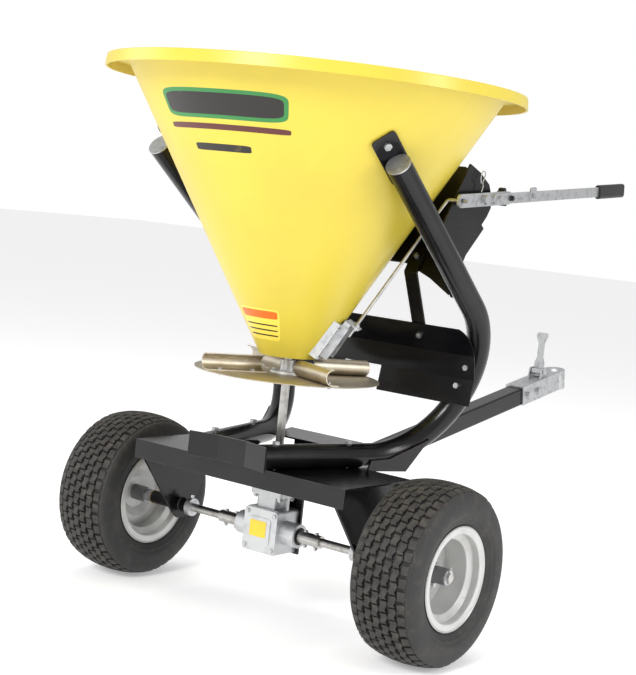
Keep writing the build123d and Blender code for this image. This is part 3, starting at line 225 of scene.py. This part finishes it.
# %% Edge wear: high where the surface turns sharply
wear, wear_in, wear_out = node_group(
    "edge_wear",
    [("Radius", "NodeSocketFloat", 0.002),
     ("Amount", "NodeSocketFloat", 4.0),
     ("Scale", "NodeSocketFloat", 60.0)],
    [("Mask", "NodeSocketFloat")],
)
rounded = wear.nodes.new("ShaderNodeBevel")
rounded.samples = 4
wear.links.new(wear_in.outputs["Radius"], rounded.inputs["Radius"])
facing = wear.nodes.new("ShaderNodeNewGeometry")
turn = wear.nodes.new("ShaderNodeVectorMath")
turn.operation = "DOT_PRODUCT"
wear.links.new(rounded.outputs["Normal"], turn.inputs[0])
wear.links.new(facing.outputs["Normal"], turn.inputs[1])
sharp = math_node(wear, "SUBTRACT", 1.0, turn.outputs["Value"], True)
sharp = math_node(wear, "MULTIPLY", sharp, wear_in.outputs["Amount"])
patchy = math_node(wear, "SUBTRACT", noise(wear, wear_in.outputs["Scale"], 5.0), 0.42)
patchy = math_node(wear, "MULTIPLY", patchy, 6.0, True)
wear.links.new(math_node(wear, "MULTIPLY", sharp, patchy, True), wear_out.inputs["Mask"])

# %% Mottle: soft patches, for dust, stains and faded paint
mottle, mottle_in, mottle_out = node_group(
    "mottle",
    [("Scale", "NodeSocketFloat", 12.0),
     ("Cover", "NodeSocketFloat", 0.5),
     ("Softness", "NodeSocketFloat", 6.0)],
    [("Mask", "NodeSocketFloat")],
)
patch = math_node(mottle, "SUBTRACT", noise(mottle, mottle_in.outputs["Scale"], 8.0), 1.0)
patch = math_node(mottle, "ADD", patch, mottle_in.outputs["Cover"])
mottle.links.new(math_node(mottle, "MULTIPLY", patch, mottle_in.outputs["Softness"], True),
                 mottle_out.inputs["Mask"])
print("node groups", [g.name for g in bpy.data.node_groups])

# %% [markdown]
# ## Finishes
# Each finish starts from one function that makes a Principled material with a colour, a
# roughness and a grain, and then adds what is special about it.

# %% One function for a plain finish
def place_group(tree, group, **values):
    node = tree.nodes.new("ShaderNodeGroup")
    node.node_tree = group
    for label, value in values.items():
        node.inputs[label].default_value = value
    return node


def mix_colour(tree, mask, first, second):
    node = tree.nodes.new("ShaderNodeMix")
    node.data_type = "RGBA"
    tree.links.new(mask, node.inputs["Factor"])
    for socket, value in ((node.inputs["A"], first), (node.inputs["B"], second)):
        if isinstance(value, tuple):
            socket.default_value = (*value, 1)
        else:
            tree.links.new(value, socket)
    return node.outputs["Result"]


def span(tree, value, low, high):
    node = tree.nodes.new("ShaderNodeMapRange")
    tree.links.new(value, node.inputs["Value"])
    node.inputs["To Min"].default_value = low
    node.inputs["To Max"].default_value = high
    return node.outputs["Result"]


shine_drift = 0.07  # how far the grain moves the roughness each way


def finish(name, colour, second, roughness, metallic=0.0, grain_scale=250.0, grain_strength=0.08,
           patches=12.0, cover=0.5, coat=0.0):
    """A material whose colour drifts between two tones in soft patches, over a fine grain."""
    material = bpy.data.materials.new(name)
    material.use_nodes = True
    tree = material.node_tree
    shader = tree.nodes["Principled BSDF"]
    shader.inputs["Metallic"].default_value = metallic
    shader.inputs["Coat Weight"].default_value = coat
    texture = place_group(tree, grain, Scale=grain_scale, Strength=grain_strength, Depth=0.001)
    stains = place_group(tree, mottle, Scale=patches, Cover=cover, Softness=4.0)
    tones = mix_colour(tree, stains.outputs["Mask"], colour, second)
    tree.links.new(tones, shader.inputs["Base Color"])
    shine = span(tree, texture.outputs["Value"], roughness - shine_drift, roughness + shine_drift)
    tree.links.new(shine, shader.inputs["Roughness"])
    tree.links.new(texture.outputs["Normal"], shader.inputs["Normal"])
    return material, tree, shader


def recolour(tree, shader, mask, colour):
    """Lays another colour over what already feeds the shader, where the mask is high."""
    below = shader.inputs["Base Color"].links[0].from_socket
    tree.links.new(mix_colour(tree, mask, below, colour), shader.inputs["Base Color"])


def worn_edges(tree, shader, radius, amount, scale, colour):
    """Shows another colour along the sharp edges, in patches."""
    worn = place_group(tree, wear, Radius=radius, Amount=amount, Scale=scale)
    recolour(tree, shader, worn.outputs["Mask"], colour)


# %% [markdown]
# The frame is sprayed gloss black over a reddish primer. The gloss has a slight orange-peel,
# and along the edges and in a few rubbed spots the primer shows through.

# %% Frame paint
frame_paint, tree, shader = finish(
    "frame_black", (0.003, 0.003, 0.004), (0.007, 0.007, 0.008), 0.22,
    grain_scale=90.0, grain_strength=0.12, patches=9.0, cover=0.6, coat=0.08)
shader.inputs["Specular IOR Level"].default_value = 0.32
shader.inputs["Coat Roughness"].default_value = 0.12
worn_edges(tree, shader, 0.0025, 2.2, 45.0, (0.11, 0.075, 0.07))
rubbed = place_group(tree, mottle, Scale=7.0, Cover=0.265, Softness=14.0)
recolour(tree, shader, rubbed.outputs["Mask"], (0.22, 0.10, 0.09))

# %% [markdown]
# The hopper is one rotary-moulded shell of yellow plastic with a faint orange-peel and a few
# long scuffs. Its badge and warning plate are made generic: plain bands, with no lettering.
# They are laid out on the cone by the angle round it and the height.

# %% Hopper plastic
hopper_plastic, tree, shader = finish(
    "hopper_yellow", (0.69, 0.55, 0.06), (0.64, 0.50, 0.055), 0.34,
    grain_scale=130.0, grain_strength=0.10, patches=4.0, cover=0.55)
shader.inputs["Subsurface Weight"].default_value = 0.06
shader.inputs["Subsurface Radius"].default_value = (0.01, 0.006, 0.002)
where = tree.nodes.new("ShaderNodeSeparateXYZ")
tree.links.new(tree.nodes.new("ShaderNodeTexCoord").outputs["Object"], where.inputs[0])
behind = math_node(tree, "SUBTRACT", axle.y, where.outputs["Y"])
angle = math_node(tree, "ARCTAN2", where.outputs["X"], behind)
height = where.outputs["Z"]
edge_sharpness = 40.0


def panel(centre_angle, centre_z, half_angle, half_z, power):
    """A rounded panel on the cone: 1 inside it and 0 outside."""
    u = math_node(tree, "DIVIDE", math_node(tree, "SUBTRACT", angle, centre_angle), half_angle)
    v = math_node(tree, "DIVIDE", math_node(tree, "SUBTRACT", height, centre_z), half_z)
    u = math_node(tree, "POWER", math_node(tree, "ABSOLUTE", u), power)
    v = math_node(tree, "POWER", math_node(tree, "ABSOLUTE", v), power)
    inside = math_node(tree, "SUBTRACT", 1.0, math_node(tree, "ADD", u, v))
    return math_node(tree, "MULTIPLY", inside, edge_sharpness, True)


ink, leaf_green, earth = (0.012, 0.010, 0.008), (0.03, 0.22, 0.05), (0.10, 0.02, 0.015)
white_gold, orange = (0.93, 0.72, 0.10), (0.75, 0.16, 0.01)
bands = [  # angle and height of the middle, half angle, half height, squareness, colour
    (5, 1.158, 25, 0.030, 6.0, leaf_green),
    (5, 1.158, 23.5, 0.022, 6.0, ink),
    (5, 1.112, 26, 0.006, 8.0, earth),
    (3, 1.070, 13, 0.0075, 8.0, ink),
    (-3, 0.690, 27, 0.036, 10.0, white_gold),
    (-3, 0.713, 25, 0.009, 10.0, orange),
]
for line_z in (0.689, 0.677, 0.665):
    bands.append((-3, line_z, 24, 0.0016, 10.0, ink))
for turn_to, band_z, half_turn, half_height, squareness, colour in bands:
    mask = panel(math.radians(turn_to), band_z, math.radians(half_turn), half_height, squareness)
    recolour(tree, shader, mask, colour)
scuffs = place_group(tree, mottle, Scale=26.0, Cover=0.30, Softness=5.0)
scuff_mask = math_node(tree, "MULTIPLY", scuffs.outputs["Mask"], 0.35)
recolour(tree, shader, scuff_mask, (0.55, 0.40, 0.10))

# %% [markdown]
# Zinc plate is grey with a soft crystalline patchwork. Turned shafts have a fine even grain,
# sheet stainless is brushed and slightly brown, and the gearbox is a dull sand-like casting.

# %% Metals
zinc_sheet, tree, shader = finish(
    "zinc_plate", (0.55, 0.56, 0.57), (0.36, 0.37, 0.39), 0.36,
    metallic=0.9, grain_scale=420.0, grain_strength=0.12, patches=70.0, cover=0.52)
worn_edges(tree, shader, 0.0015, 2.0, 80.0, (0.78, 0.78, 0.77))
shaft_steel, tree, shader = finish(
    "turned_steel", (0.52, 0.51, 0.49), (0.30, 0.28, 0.26), 0.30,
    metallic=1.0, grain_scale=500.0, grain_strength=0.10, patches=40.0, cover=0.5)
cast_alloy, tree, shader = finish(
    "cast_alloy", (0.62, 0.63, 0.64), (0.47, 0.48, 0.49), 0.46,
    metallic=0.75, grain_scale=330.0, grain_strength=0.45, patches=30.0, cover=0.5)
worn_edges(tree, shader, 0.002, 2.0, 60.0, (0.80, 0.80, 0.80))
gear_iron, tree, shader = finish(
    "machined_iron", (0.28, 0.28, 0.29), (0.18, 0.17, 0.17), 0.38,
    metallic=1.0, grain_scale=350.0, grain_strength=0.15)
bronze, tree, shader = finish(
    "sintered_bronze", (0.50, 0.33, 0.15), (0.40, 0.25, 0.11), 0.42,
    metallic=1.0, grain_scale=600.0, grain_strength=0.2)

# %% Brushed stainless for the spinner
stainless, tree, shader = finish(
    "brushed_stainless", (0.52, 0.47, 0.38), (0.42, 0.37, 0.29), 0.42,
    metallic=1.0, grain_scale=220.0, grain_strength=0.05, patches=22.0, cover=0.52)
stretch = tree.nodes.new("ShaderNodeMapping")
stretch.inputs["Scale"].default_value = (30.0, 700.0, 700.0)
tree.links.new(tree.nodes.new("ShaderNodeTexCoord").outputs["Object"], stretch.inputs["Vector"])
brush_bump = tree.nodes.new("ShaderNodeBump")
brush_bump.inputs["Strength"].default_value = 0.10
brush_bump.inputs["Distance"].default_value = 0.0005
tree.links.new(noise(tree, 1.0, 3.0, stretch.outputs["Vector"]), brush_bump.inputs["Height"])
tree.links.new(brush_bump.outputs["Normal"], shader.inputs["Normal"])

# %% [markdown]
# The tyres are dull black rubber, dusty brown in the tread. The rims are sprayed light grey,
# and the lever's grip and the star knob are matt black mouldings.

# %% Rubber, rim paint and black plastic
tyre_rubber, tree, shader = finish(
    "tyre_rubber", (0.020, 0.020, 0.020), (0.038, 0.035, 0.032), 0.62,
    grain_scale=260.0, grain_strength=0.22, patches=25.0, cover=0.5)
dust = place_group(tree, mottle, Scale=60.0, Cover=0.44, Softness=5.0)
recolour(tree, shader, math_node(tree, "MULTIPLY", dust.outputs["Mask"], 0.6), (0.07, 0.055, 0.042))
tread_rubber, tree, shader = finish(
    "tread_rubber", (0.022, 0.021, 0.020), (0.055, 0.048, 0.042), 0.66,
    grain_scale=300.0, grain_strength=0.3, patches=45.0, cover=0.56)
worn_edges(tree, shader, 0.002, 2.0, 90.0, (0.08, 0.066, 0.052))
rim_paint, tree, shader = finish(
    "rim_grey", (0.58, 0.58, 0.57), (0.47, 0.47, 0.46), 0.36,
    metallic=0.25, grain_scale=160.0, grain_strength=0.08, patches=14.0, cover=0.5, coat=0.15)
soot = place_group(tree, mottle, Scale=38.0, Cover=0.33, Softness=6.0)
recolour(tree, shader, math_node(tree, "MULTIPLY", soot.outputs["Mask"], 0.5), (0.20, 0.18, 0.16))
black_plastic, tree, shader = finish(
    "black_moulding", (0.012, 0.012, 0.013), (0.022, 0.022, 0.024), 0.48,
    grain_scale=420.0, grain_strength=0.25)
seal_rubber, tree, shader = finish(
    "seal_rubber", (0.015, 0.015, 0.015), (0.03, 0.03, 0.03), 0.6,
    grain_scale=500.0, grain_strength=0.2)
label_yellow, tree, shader = finish(
    "label_yellow", (0.85, 0.60, 0.04), (0.78, 0.53, 0.05), 0.35,
    grain_scale=300.0, grain_strength=0.05)
print("materials", len(bpy.data.materials))

# %% [markdown]
# The record gives every CAD piece a material slot, so the finishes are handed out by name.
# A CAD piece keeps its mesh: only what is in its material slots changes.

# %% Give every CAD piece its finish
finishes = {
    "frame_paint": frame_paint,
    "hopper_plastic": hopper_plastic,
    "zinc_sheet": zinc_sheet,
    "shaft_steel": shaft_steel,
    "stainless": stainless,
    "gear_iron": gear_iron,
    "cast_alloy": cast_alloy,
    "bronze": bronze,
    "seal_rubber": seal_rubber,
    "tyre_rubber": tyre_rubber,
    "rim_paint": rim_paint,
    "black_plastic": black_plastic,
}
for part in frame["record"]["subparts"]:
    mesh = frame["nodes"][part["node"]].data
    mesh.materials.clear()
    mesh.materials.append(finishes[part["material_slot"]])

# %% [markdown]
# ## Tyres
# A turf tyre has a smooth side wall with moulded rings, and rows of small wavy blocks that
# stand on the crown. The casing is one profile turned about the axle. The blocks repeat, so
# one block per row is drawn and Geometry Nodes copies it round the wheel.

# %% Helper that turns a profile about the axle's line
def link(name, mesh, material, body, smooth=True):
    piece = bpy.data.objects.new(name, mesh)
    scene.collection.objects.link(piece)
    mesh.materials.clear()
    mesh.materials.append(material)
    if smooth:
        for face in mesh.polygons:
            face.use_smooth = True
    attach(piece, body)
    return piece


def bridge(shape, here, there):
    """Joins two rings of points with a band of faces."""
    count = len(here)
    for k in range(count):
        after = (k + 1) % count
        shape.faces.new((here[k], here[after], there[after], there[k]))


def as_mesh(shape, name):
    """Turns the faces outward and keeps the shape as a mesh."""
    bmesh.ops.recalc_face_normals(shape, faces=shape.faces)
    mesh = bpy.data.meshes.new(name)
    shape.to_mesh(mesh)
    shape.free()
    return mesh


def turned_shell(profile, centre, steps):
    """Mesh of a closed (x, radius) profile turned about the line along X through centre."""
    shape = bmesh.new()
    rings = []
    for step in range(steps):
        a = 2 * math.pi * step / steps
        across, up = math.cos(a), math.sin(a)
        rings.append([shape.verts.new((centre.x + x, centre.y + r * across, centre.z + r * up))
                      for x, r in profile])
    for step in range(steps):
        bridge(shape, rings[step], rings[(step + 1) % steps])
    return as_mesh(shape, "turned")


# %% Tyre casing profile
mm = 0.001
tread_depth = 7.5 * mm
crown_curve = 276 * mm
crown_end = 0.066  # beyond this the side lugs keep the shoulder's height


def crown(x):
    """Radius of the tread's top at a distance x from the wheel's middle."""
    return tyre_radius - (crown_curve - math.sqrt(crown_curve ** 2 - x ** 2))


outer_side = [(65.3, 102), (65.3, 112), (66.5, 118), (70.5, 122), (74.0, 127), (75.2, 131),
              (77.6, 132.5), (78.6, 136), (79.4, 142), (81.4, 144), (82.2, 150), (82.3, 160),
              (81.4, 170), (79.0, 179), (75.5, 186), (70.0, 190.5)]
inner_side = [(49, 183), (64, 176), (70, 158), (65, 132), (54, 112), (54, 102)]
side = [(x * mm, r * mm) for x, r in outer_side]
crown_points = [(x * mm, crown(x * mm) - tread_depth) for x in range(60, -61, -15)]
other_side = [(-x, r) for x, r in reversed(side)]
inner = [(-x * mm, r * mm) for x, r in reversed(inner_side)]
inner += [(x * mm, r * mm) for x, r in inner_side]
casing_profile = side + crown_points + other_side + inner
casing_steps = 128

# %% One tread block, drawn where it stands at the top of the wheel
def block_mesh(name, row_x, length, width, wave, tilt, lift=0.0):
    """A wavy block: its outline bends one way and back, and its top is a little smaller."""
    shape = bmesh.new()
    top_radius = crown(min(abs(row_x), crown_end)) + lift
    spin = Matrix.Rotation(tilt, 4, "Y")
    steps = 4
    outline = []
    for k in range(steps + 1):
        t = k / steps - 0.5
        outline.append((t * length, width / 2 + wave * math.sin(2 * math.pi * t)))
    for k in range(steps, -1, -1):
        t = k / steps - 0.5
        outline.append((t * length, -width / 2 + wave * math.sin(2 * math.pi * t)))
    levels = []
    for depth, shrink in ((-tread_depth - 2 * mm, 1.0), (-1.2 * mm, 0.97), (0.0, 0.86)):
        ring = []
        for along, across in outline:
            drop = (along * shrink) ** 2 / (2 * tyre_radius)
            local = spin @ Vector((across * shrink, along * shrink, depth - drop))
            ring.append(shape.verts.new((row_x + local.x, local.y, top_radius + local.z)))
        levels.append(ring)
    for low, high in zip(levels, levels[1:]):
        bridge(shape, low, high)
    shape.faces.new(levels[-1])
    shape.faces.new(list(reversed(levels[0])))
    return as_mesh(shape, name)


# %% Helpers that start and end a Geometry Nodes tree
def geometry_tree(name, inputs, result):
    tree = bpy.data.node_groups.new(name, "GeometryNodeTree")
    for label, kind in inputs:
        tree.interface.new_socket(name=label, in_out="INPUT", socket_type=kind)
    tree.interface.new_socket(name=result, in_out="OUTPUT", socket_type="NodeSocketGeometry")
    return tree, tree.nodes.new("NodeGroupInput"), tree.nodes.new("NodeGroupOutput")


def end_tree(tree, tree_in, tree_out, copies, result):
    """Makes the copies real, gives them their finish and sends them out."""
    real = tree.nodes.new("GeometryNodeRealizeInstances")
    tree.links.new(copies, real.inputs[0])
    painted = tree.nodes.new("GeometryNodeSetMaterial")
    tree.links.new(real.outputs[0], painted.inputs["Geometry"])
    tree.links.new(tree_in.outputs["Finish"], painted.inputs["Material"])
    tree.links.new(painted.outputs[0], tree_out.inputs[result])


# %% Geometry Nodes: copy a piece round a wheel
ring_tree, ring_in, ring_out = geometry_tree(
    "round_the_wheel",
    [("Block", "NodeSocketGeometry"),
     ("Count", "NodeSocketInt"),
     ("Phase", "NodeSocketFloat"),
     ("Centre", "NodeSocketVector"),
     ("Finish", "NodeSocketMaterial")],
    "Ring",
)
points = ring_tree.nodes.new("GeometryNodePoints")
ring_tree.links.new(ring_in.outputs["Count"], points.inputs["Count"])
number = ring_tree.nodes.new("GeometryNodeInputIndex")


def ring_math(operation, first, second):
    return math_node(ring_tree, operation, first, second)


share = ring_math("DIVIDE", number.outputs[0], ring_in.outputs["Count"])
turned_by = ring_math("ADD", ring_math("MULTIPLY", share, 2 * math.pi), ring_in.outputs["Phase"])
as_rotation = ring_tree.nodes.new("ShaderNodeCombineXYZ")
ring_tree.links.new(turned_by, as_rotation.inputs["X"])
copies = ring_tree.nodes.new("GeometryNodeInstanceOnPoints")
ring_tree.links.new(points.outputs[0], copies.inputs["Points"])
ring_tree.links.new(ring_in.outputs["Block"], copies.inputs["Instance"])
ring_tree.links.new(as_rotation.outputs[0], copies.inputs["Rotation"])
moved = ring_tree.nodes.new("GeometryNodeTransform")
ring_tree.links.new(copies.outputs[0], moved.inputs["Geometry"])
ring_tree.links.new(ring_in.outputs["Centre"], moved.inputs["Translation"])
end_tree(ring_tree, ring_in, ring_out, moved.outputs[0], "Ring")


# %% Run a tree on a mesh and keep the result as a plain mesh
def evaluated_mesh(thing):
    bpy.context.view_layer.update()
    final = thing.evaluated_get(bpy.context.evaluated_depsgraph_get())
    return bpy.data.meshes.new_from_object(final)


def grow(mesh, tree, **values):
    seed = bpy.data.objects.new("seed", mesh)
    scene.collection.objects.link(seed)
    modifier = seed.modifiers.new("copies", "NODES")
    modifier.node_group = tree
    names = {item.name: item.identifier for item in tree.interface.items_tree
             if item.item_type == "SOCKET"}
    for label, value in values.items():
        modifier[names[label]] = value
    result = evaluated_mesh(seed)
    seed.modifiers.remove(modifier)
    bpy.data.objects.remove(seed)
    return result


def join_meshes(name, meshes):
    shape = bmesh.new()
    for mesh in meshes:
        shape.from_mesh(mesh)
    joined = bpy.data.meshes.new(name)
    shape.to_mesh(joined)
    shape.free()
    return joined


# %% Rows of blocks: middle, two rows each side, and the shoulder lugs
blocks_round = 44
rows = [(0.0, 26, 15.5, 3.0, 0.0)]  # place across, length, width, wave in mm; shift in steps
for sign in (-1, 1):
    rows.append((sign * 20.5, 25, 15.5, 3.0, 0.5))
    rows.append((sign * 41.0, 26, 15.5, 3.0, 0.0))
shoulder_x, shoulder_tilt = 60.5 * mm, math.radians(15)
shoulder_length, shoulder_width, shoulder_sink = 21 * mm, 17 * mm, 0.8 * mm
side_lug_x, side_lug_tilt = 73.5 * mm, math.radians(38) * 1.25
side_lug_length, side_lug_width, side_lug_sink = 17 * mm, 14 * mm, 8.3 * mm


def treads(centre):
    """Every row of blocks, and on each side a shoulder lug and a side lug."""
    step = 2 * math.pi / blocks_round

    def round_the_wheel(block, phase):
        return grow(block, ring_tree, Count=blocks_round, Phase=phase,
                    Centre=centre, Finish=tread_rubber)

    meshes = []
    for row_x, length, width, wave, phase in rows:
        block = block_mesh("block", row_x * mm, length * mm, width * mm, wave * mm,
                           math.asin(row_x * mm / crown_curve))
        meshes.append(round_the_wheel(block, phase * step))
    for sign in (-1, 1):
        shoulder = block_mesh("lug", sign * shoulder_x, shoulder_length, shoulder_width, 0.0,
                              sign * shoulder_tilt, -shoulder_sink)
        meshes.append(round_the_wheel(shoulder, step / 2))
        lug = block_mesh("side_lug", sign * side_lug_x, side_lug_length, side_lug_width, 0.0,
                         sign * side_lug_tilt, -side_lug_sink)
        meshes.append(round_the_wheel(lug, step / 2))
    return meshes


for label, body, sign in (("right", "drive_axle", 1), ("left", "left_wheel", -1)):
    centre = Vector((sign * wheel_x, axle.y, axle.z))
    casing = link(f"{label}_tyre_casing", turned_shell(casing_profile, centre, casing_steps),
                  tyre_rubber, body)
    tread = link(f"{label}_tyre_tread", join_meshes("tread", treads(centre)),
                 tread_rubber, body, smooth=False)
    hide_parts(f"{label}_tyre")
    print(label, "tread faces", len(tread.data.polygons))

# %% [markdown]
# ## Weld beads
# The frame is welded, and each joint carries a scalloped bead: short overlapping ripples.
# One ripple is a flattened bead, and Geometry Nodes lays copies along the joint's line.

# %% Geometry Nodes: ripples along a line
bead_tree, bead_in, bead_out = geometry_tree(
    "weld_bead",
    [("Line", "NodeSocketGeometry"),
     ("Spacing", "NodeSocketFloat"),
     ("Size", "NodeSocketFloat"),
     ("Finish", "NodeSocketMaterial")],
    "Bead",
)
as_curve = bead_tree.nodes.new("GeometryNodeMeshToCurve")
bead_tree.links.new(bead_in.outputs["Line"], as_curve.inputs["Mesh"])
spaced = bead_tree.nodes.new("GeometryNodeCurveToPoints")
spaced.mode = "LENGTH"
bead_tree.links.new(as_curve.outputs[0], spaced.inputs["Curve"])
bead_tree.links.new(bead_in.outputs["Spacing"], spaced.inputs["Length"])
ripple = bead_tree.nodes.new("GeometryNodeMeshIcoSphere")
ripple.inputs["Subdivisions"].default_value = 2
bead_tree.links.new(bead_in.outputs["Size"], ripple.inputs["Radius"])
flat = bead_tree.nodes.new("GeometryNodeTransform")
flat.inputs["Scale"].default_value = (1.0, 1.0, 0.62)
bead_tree.links.new(ripple.outputs["Mesh"], flat.inputs["Geometry"])
laid = bead_tree.nodes.new("GeometryNodeInstanceOnPoints")
bead_tree.links.new(spaced.outputs["Points"], laid.inputs["Points"])
bead_tree.links.new(flat.outputs[0], laid.inputs["Instance"])
bead_tree.links.new(spaced.outputs["Rotation"], laid.inputs["Rotation"])
end_tree(bead_tree, bead_in, bead_out, laid.outputs[0], "Bead")


# %% Where the welds run
def line_mesh(points, closed=False):
    mesh = bpy.data.meshes.new("line")
    edges = [(k, k + 1) for k in range(len(points) - 1)]
    if closed:
        edges.append((len(points) - 1, 0))
    mesh.from_pydata([tuple(p) for p in points], edges, [])
    return mesh


def ring_of(centre, radius, steps=32):
    angles = [2 * math.pi * k / steps for k in range(steps)]
    return [centre + Vector((0, math.cos(a), math.sin(a))) * radius for a in angles]


hanger_low, hanger_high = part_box("hanger_plates")
bearing_low, bearing_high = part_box("bearing_tubes")
bracket_low, bracket_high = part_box("gearbox_bracket")
bead, bead_spacing = 2.6 * mm, 2.2 * mm
bearing_radius = (bearing_high.z - bearing_low.z) / 2
hanger_thick, weld_inset = 6 * mm, 8 * mm
weld_lines = []
for sign in (-1, 1):
    for x in (hanger_high.x, hanger_high.x - hanger_thick):
        weld_lines.append((ring_of(Vector((sign * x, axle.y, axle.z)), bearing_radius), True))
    inside = sign * (hanger_high.x - hanger_thick)
    weld_lines.append(([Vector((inside, hanger_low.y + weld_inset, hanger_high.z)),
                        Vector((inside, hanger_high.y - weld_inset, hanger_high.z))], False))
weld_lines.append(([Vector((bracket_low.x, bracket_high.y, bracket_high.z)),
                    Vector((bracket_high.x, bracket_high.y, bracket_high.z))], False))
beads = [grow(line_mesh(points, closed), bead_tree,
              Spacing=bead_spacing, Size=bead, Finish=frame_paint)
         for points, closed in weld_lines]
welds = link("weld_beads", join_meshes("welds", beads), frame_paint, "chassis")
print("weld faces", len(welds.data.polygons))

# %% [markdown]
# ## Label plate and wire clip
# The gearbox carries a small plate on its cover, here left blank. A bent wire hairpin stands
# over the lever's yoke and turns with the lever.

# %% Gearbox label plate
cover_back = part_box("gearbox_cover")[0].y


def rounded_plate(name, centre, half_x, half_z, thickness, corner=4 * mm, steps=5):
    """A thin plate that faces backwards, with rounded corners and a raised border."""
    shape = bmesh.new()
    rings = []
    border = [(0.0, 0.0), (0.0, thickness), (1.5 * mm, thickness), (2.2 * mm, thickness * 0.6)]
    for inset, back in border:
        ring = []
        for sx, sz, start in ((1, 1, 0), (-1, 1, 90), (-1, -1, 180), (1, -1, 270)):
            for k in range(steps):
                a = math.radians(start + 90 * k / (steps - 1))
                x = sx * (half_x - corner) + (corner - inset) * math.cos(a)
                z = sz * (half_z - corner) + (corner - inset) * math.sin(a)
                ring.append(shape.verts.new((centre.x + x, centre.y - back, centre.z + z)))
        rings.append(ring)
    for low, high in zip(rings, rings[1:]):
        bridge(shape, low, high)
    shape.faces.new(rings[-1])
    shape.faces.new(list(reversed(rings[0])))
    return as_mesh(shape, name)


plate_half_x, plate_half_z, plate_thick = 24 * mm, 19 * mm, 0.9 * mm
plate_spot = Vector((-4 * mm, cover_back + 0.1 * mm, axle.z + 4 * mm))
link("gearbox_label", rounded_plate("label", plate_spot, plate_half_x, plate_half_z, plate_thick),
     label_yellow, "chassis", smooth=False)

# %% Hairpin clip
clip_curve = bpy.data.curves.new("clip", "CURVE")
clip_curve.dimensions = "3D"
clip_curve.bevel_depth = 1.3 * mm
clip_curve.bevel_resolution = 3
clip_line = clip_curve.splines.new("NURBS")
yoke_low, yoke_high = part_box("lever_yoke")
clip_spot = Vector((yoke_low.x - 14 * mm, yoke_low.y + 118 * mm, yoke_high.z + 10 * mm))
clip_route = [(0, 0, 0), (0, -6, 16), (0, 4, 30), (0, 16, 27),
              (0, 14, 14), (0, 5, 3), (0, 12, -8), (0, 5, -20)]
clip_line.points.add(len(clip_route) - 1)
for point, place in zip(clip_line.points, clip_route):
    point.co = (*(clip_spot + Vector(place) * mm), 1)
clip_line.order_u = 3
clip_line.use_endpoint_u = True
clip_object = bpy.data.objects.new("clip_curve", clip_curve)
scene.collection.objects.link(clip_object)
clip_mesh = evaluated_mesh(clip_object)
bpy.data.objects.remove(clip_object)
link("hairpin_clip", clip_mesh, zinc_sheet, "lever")
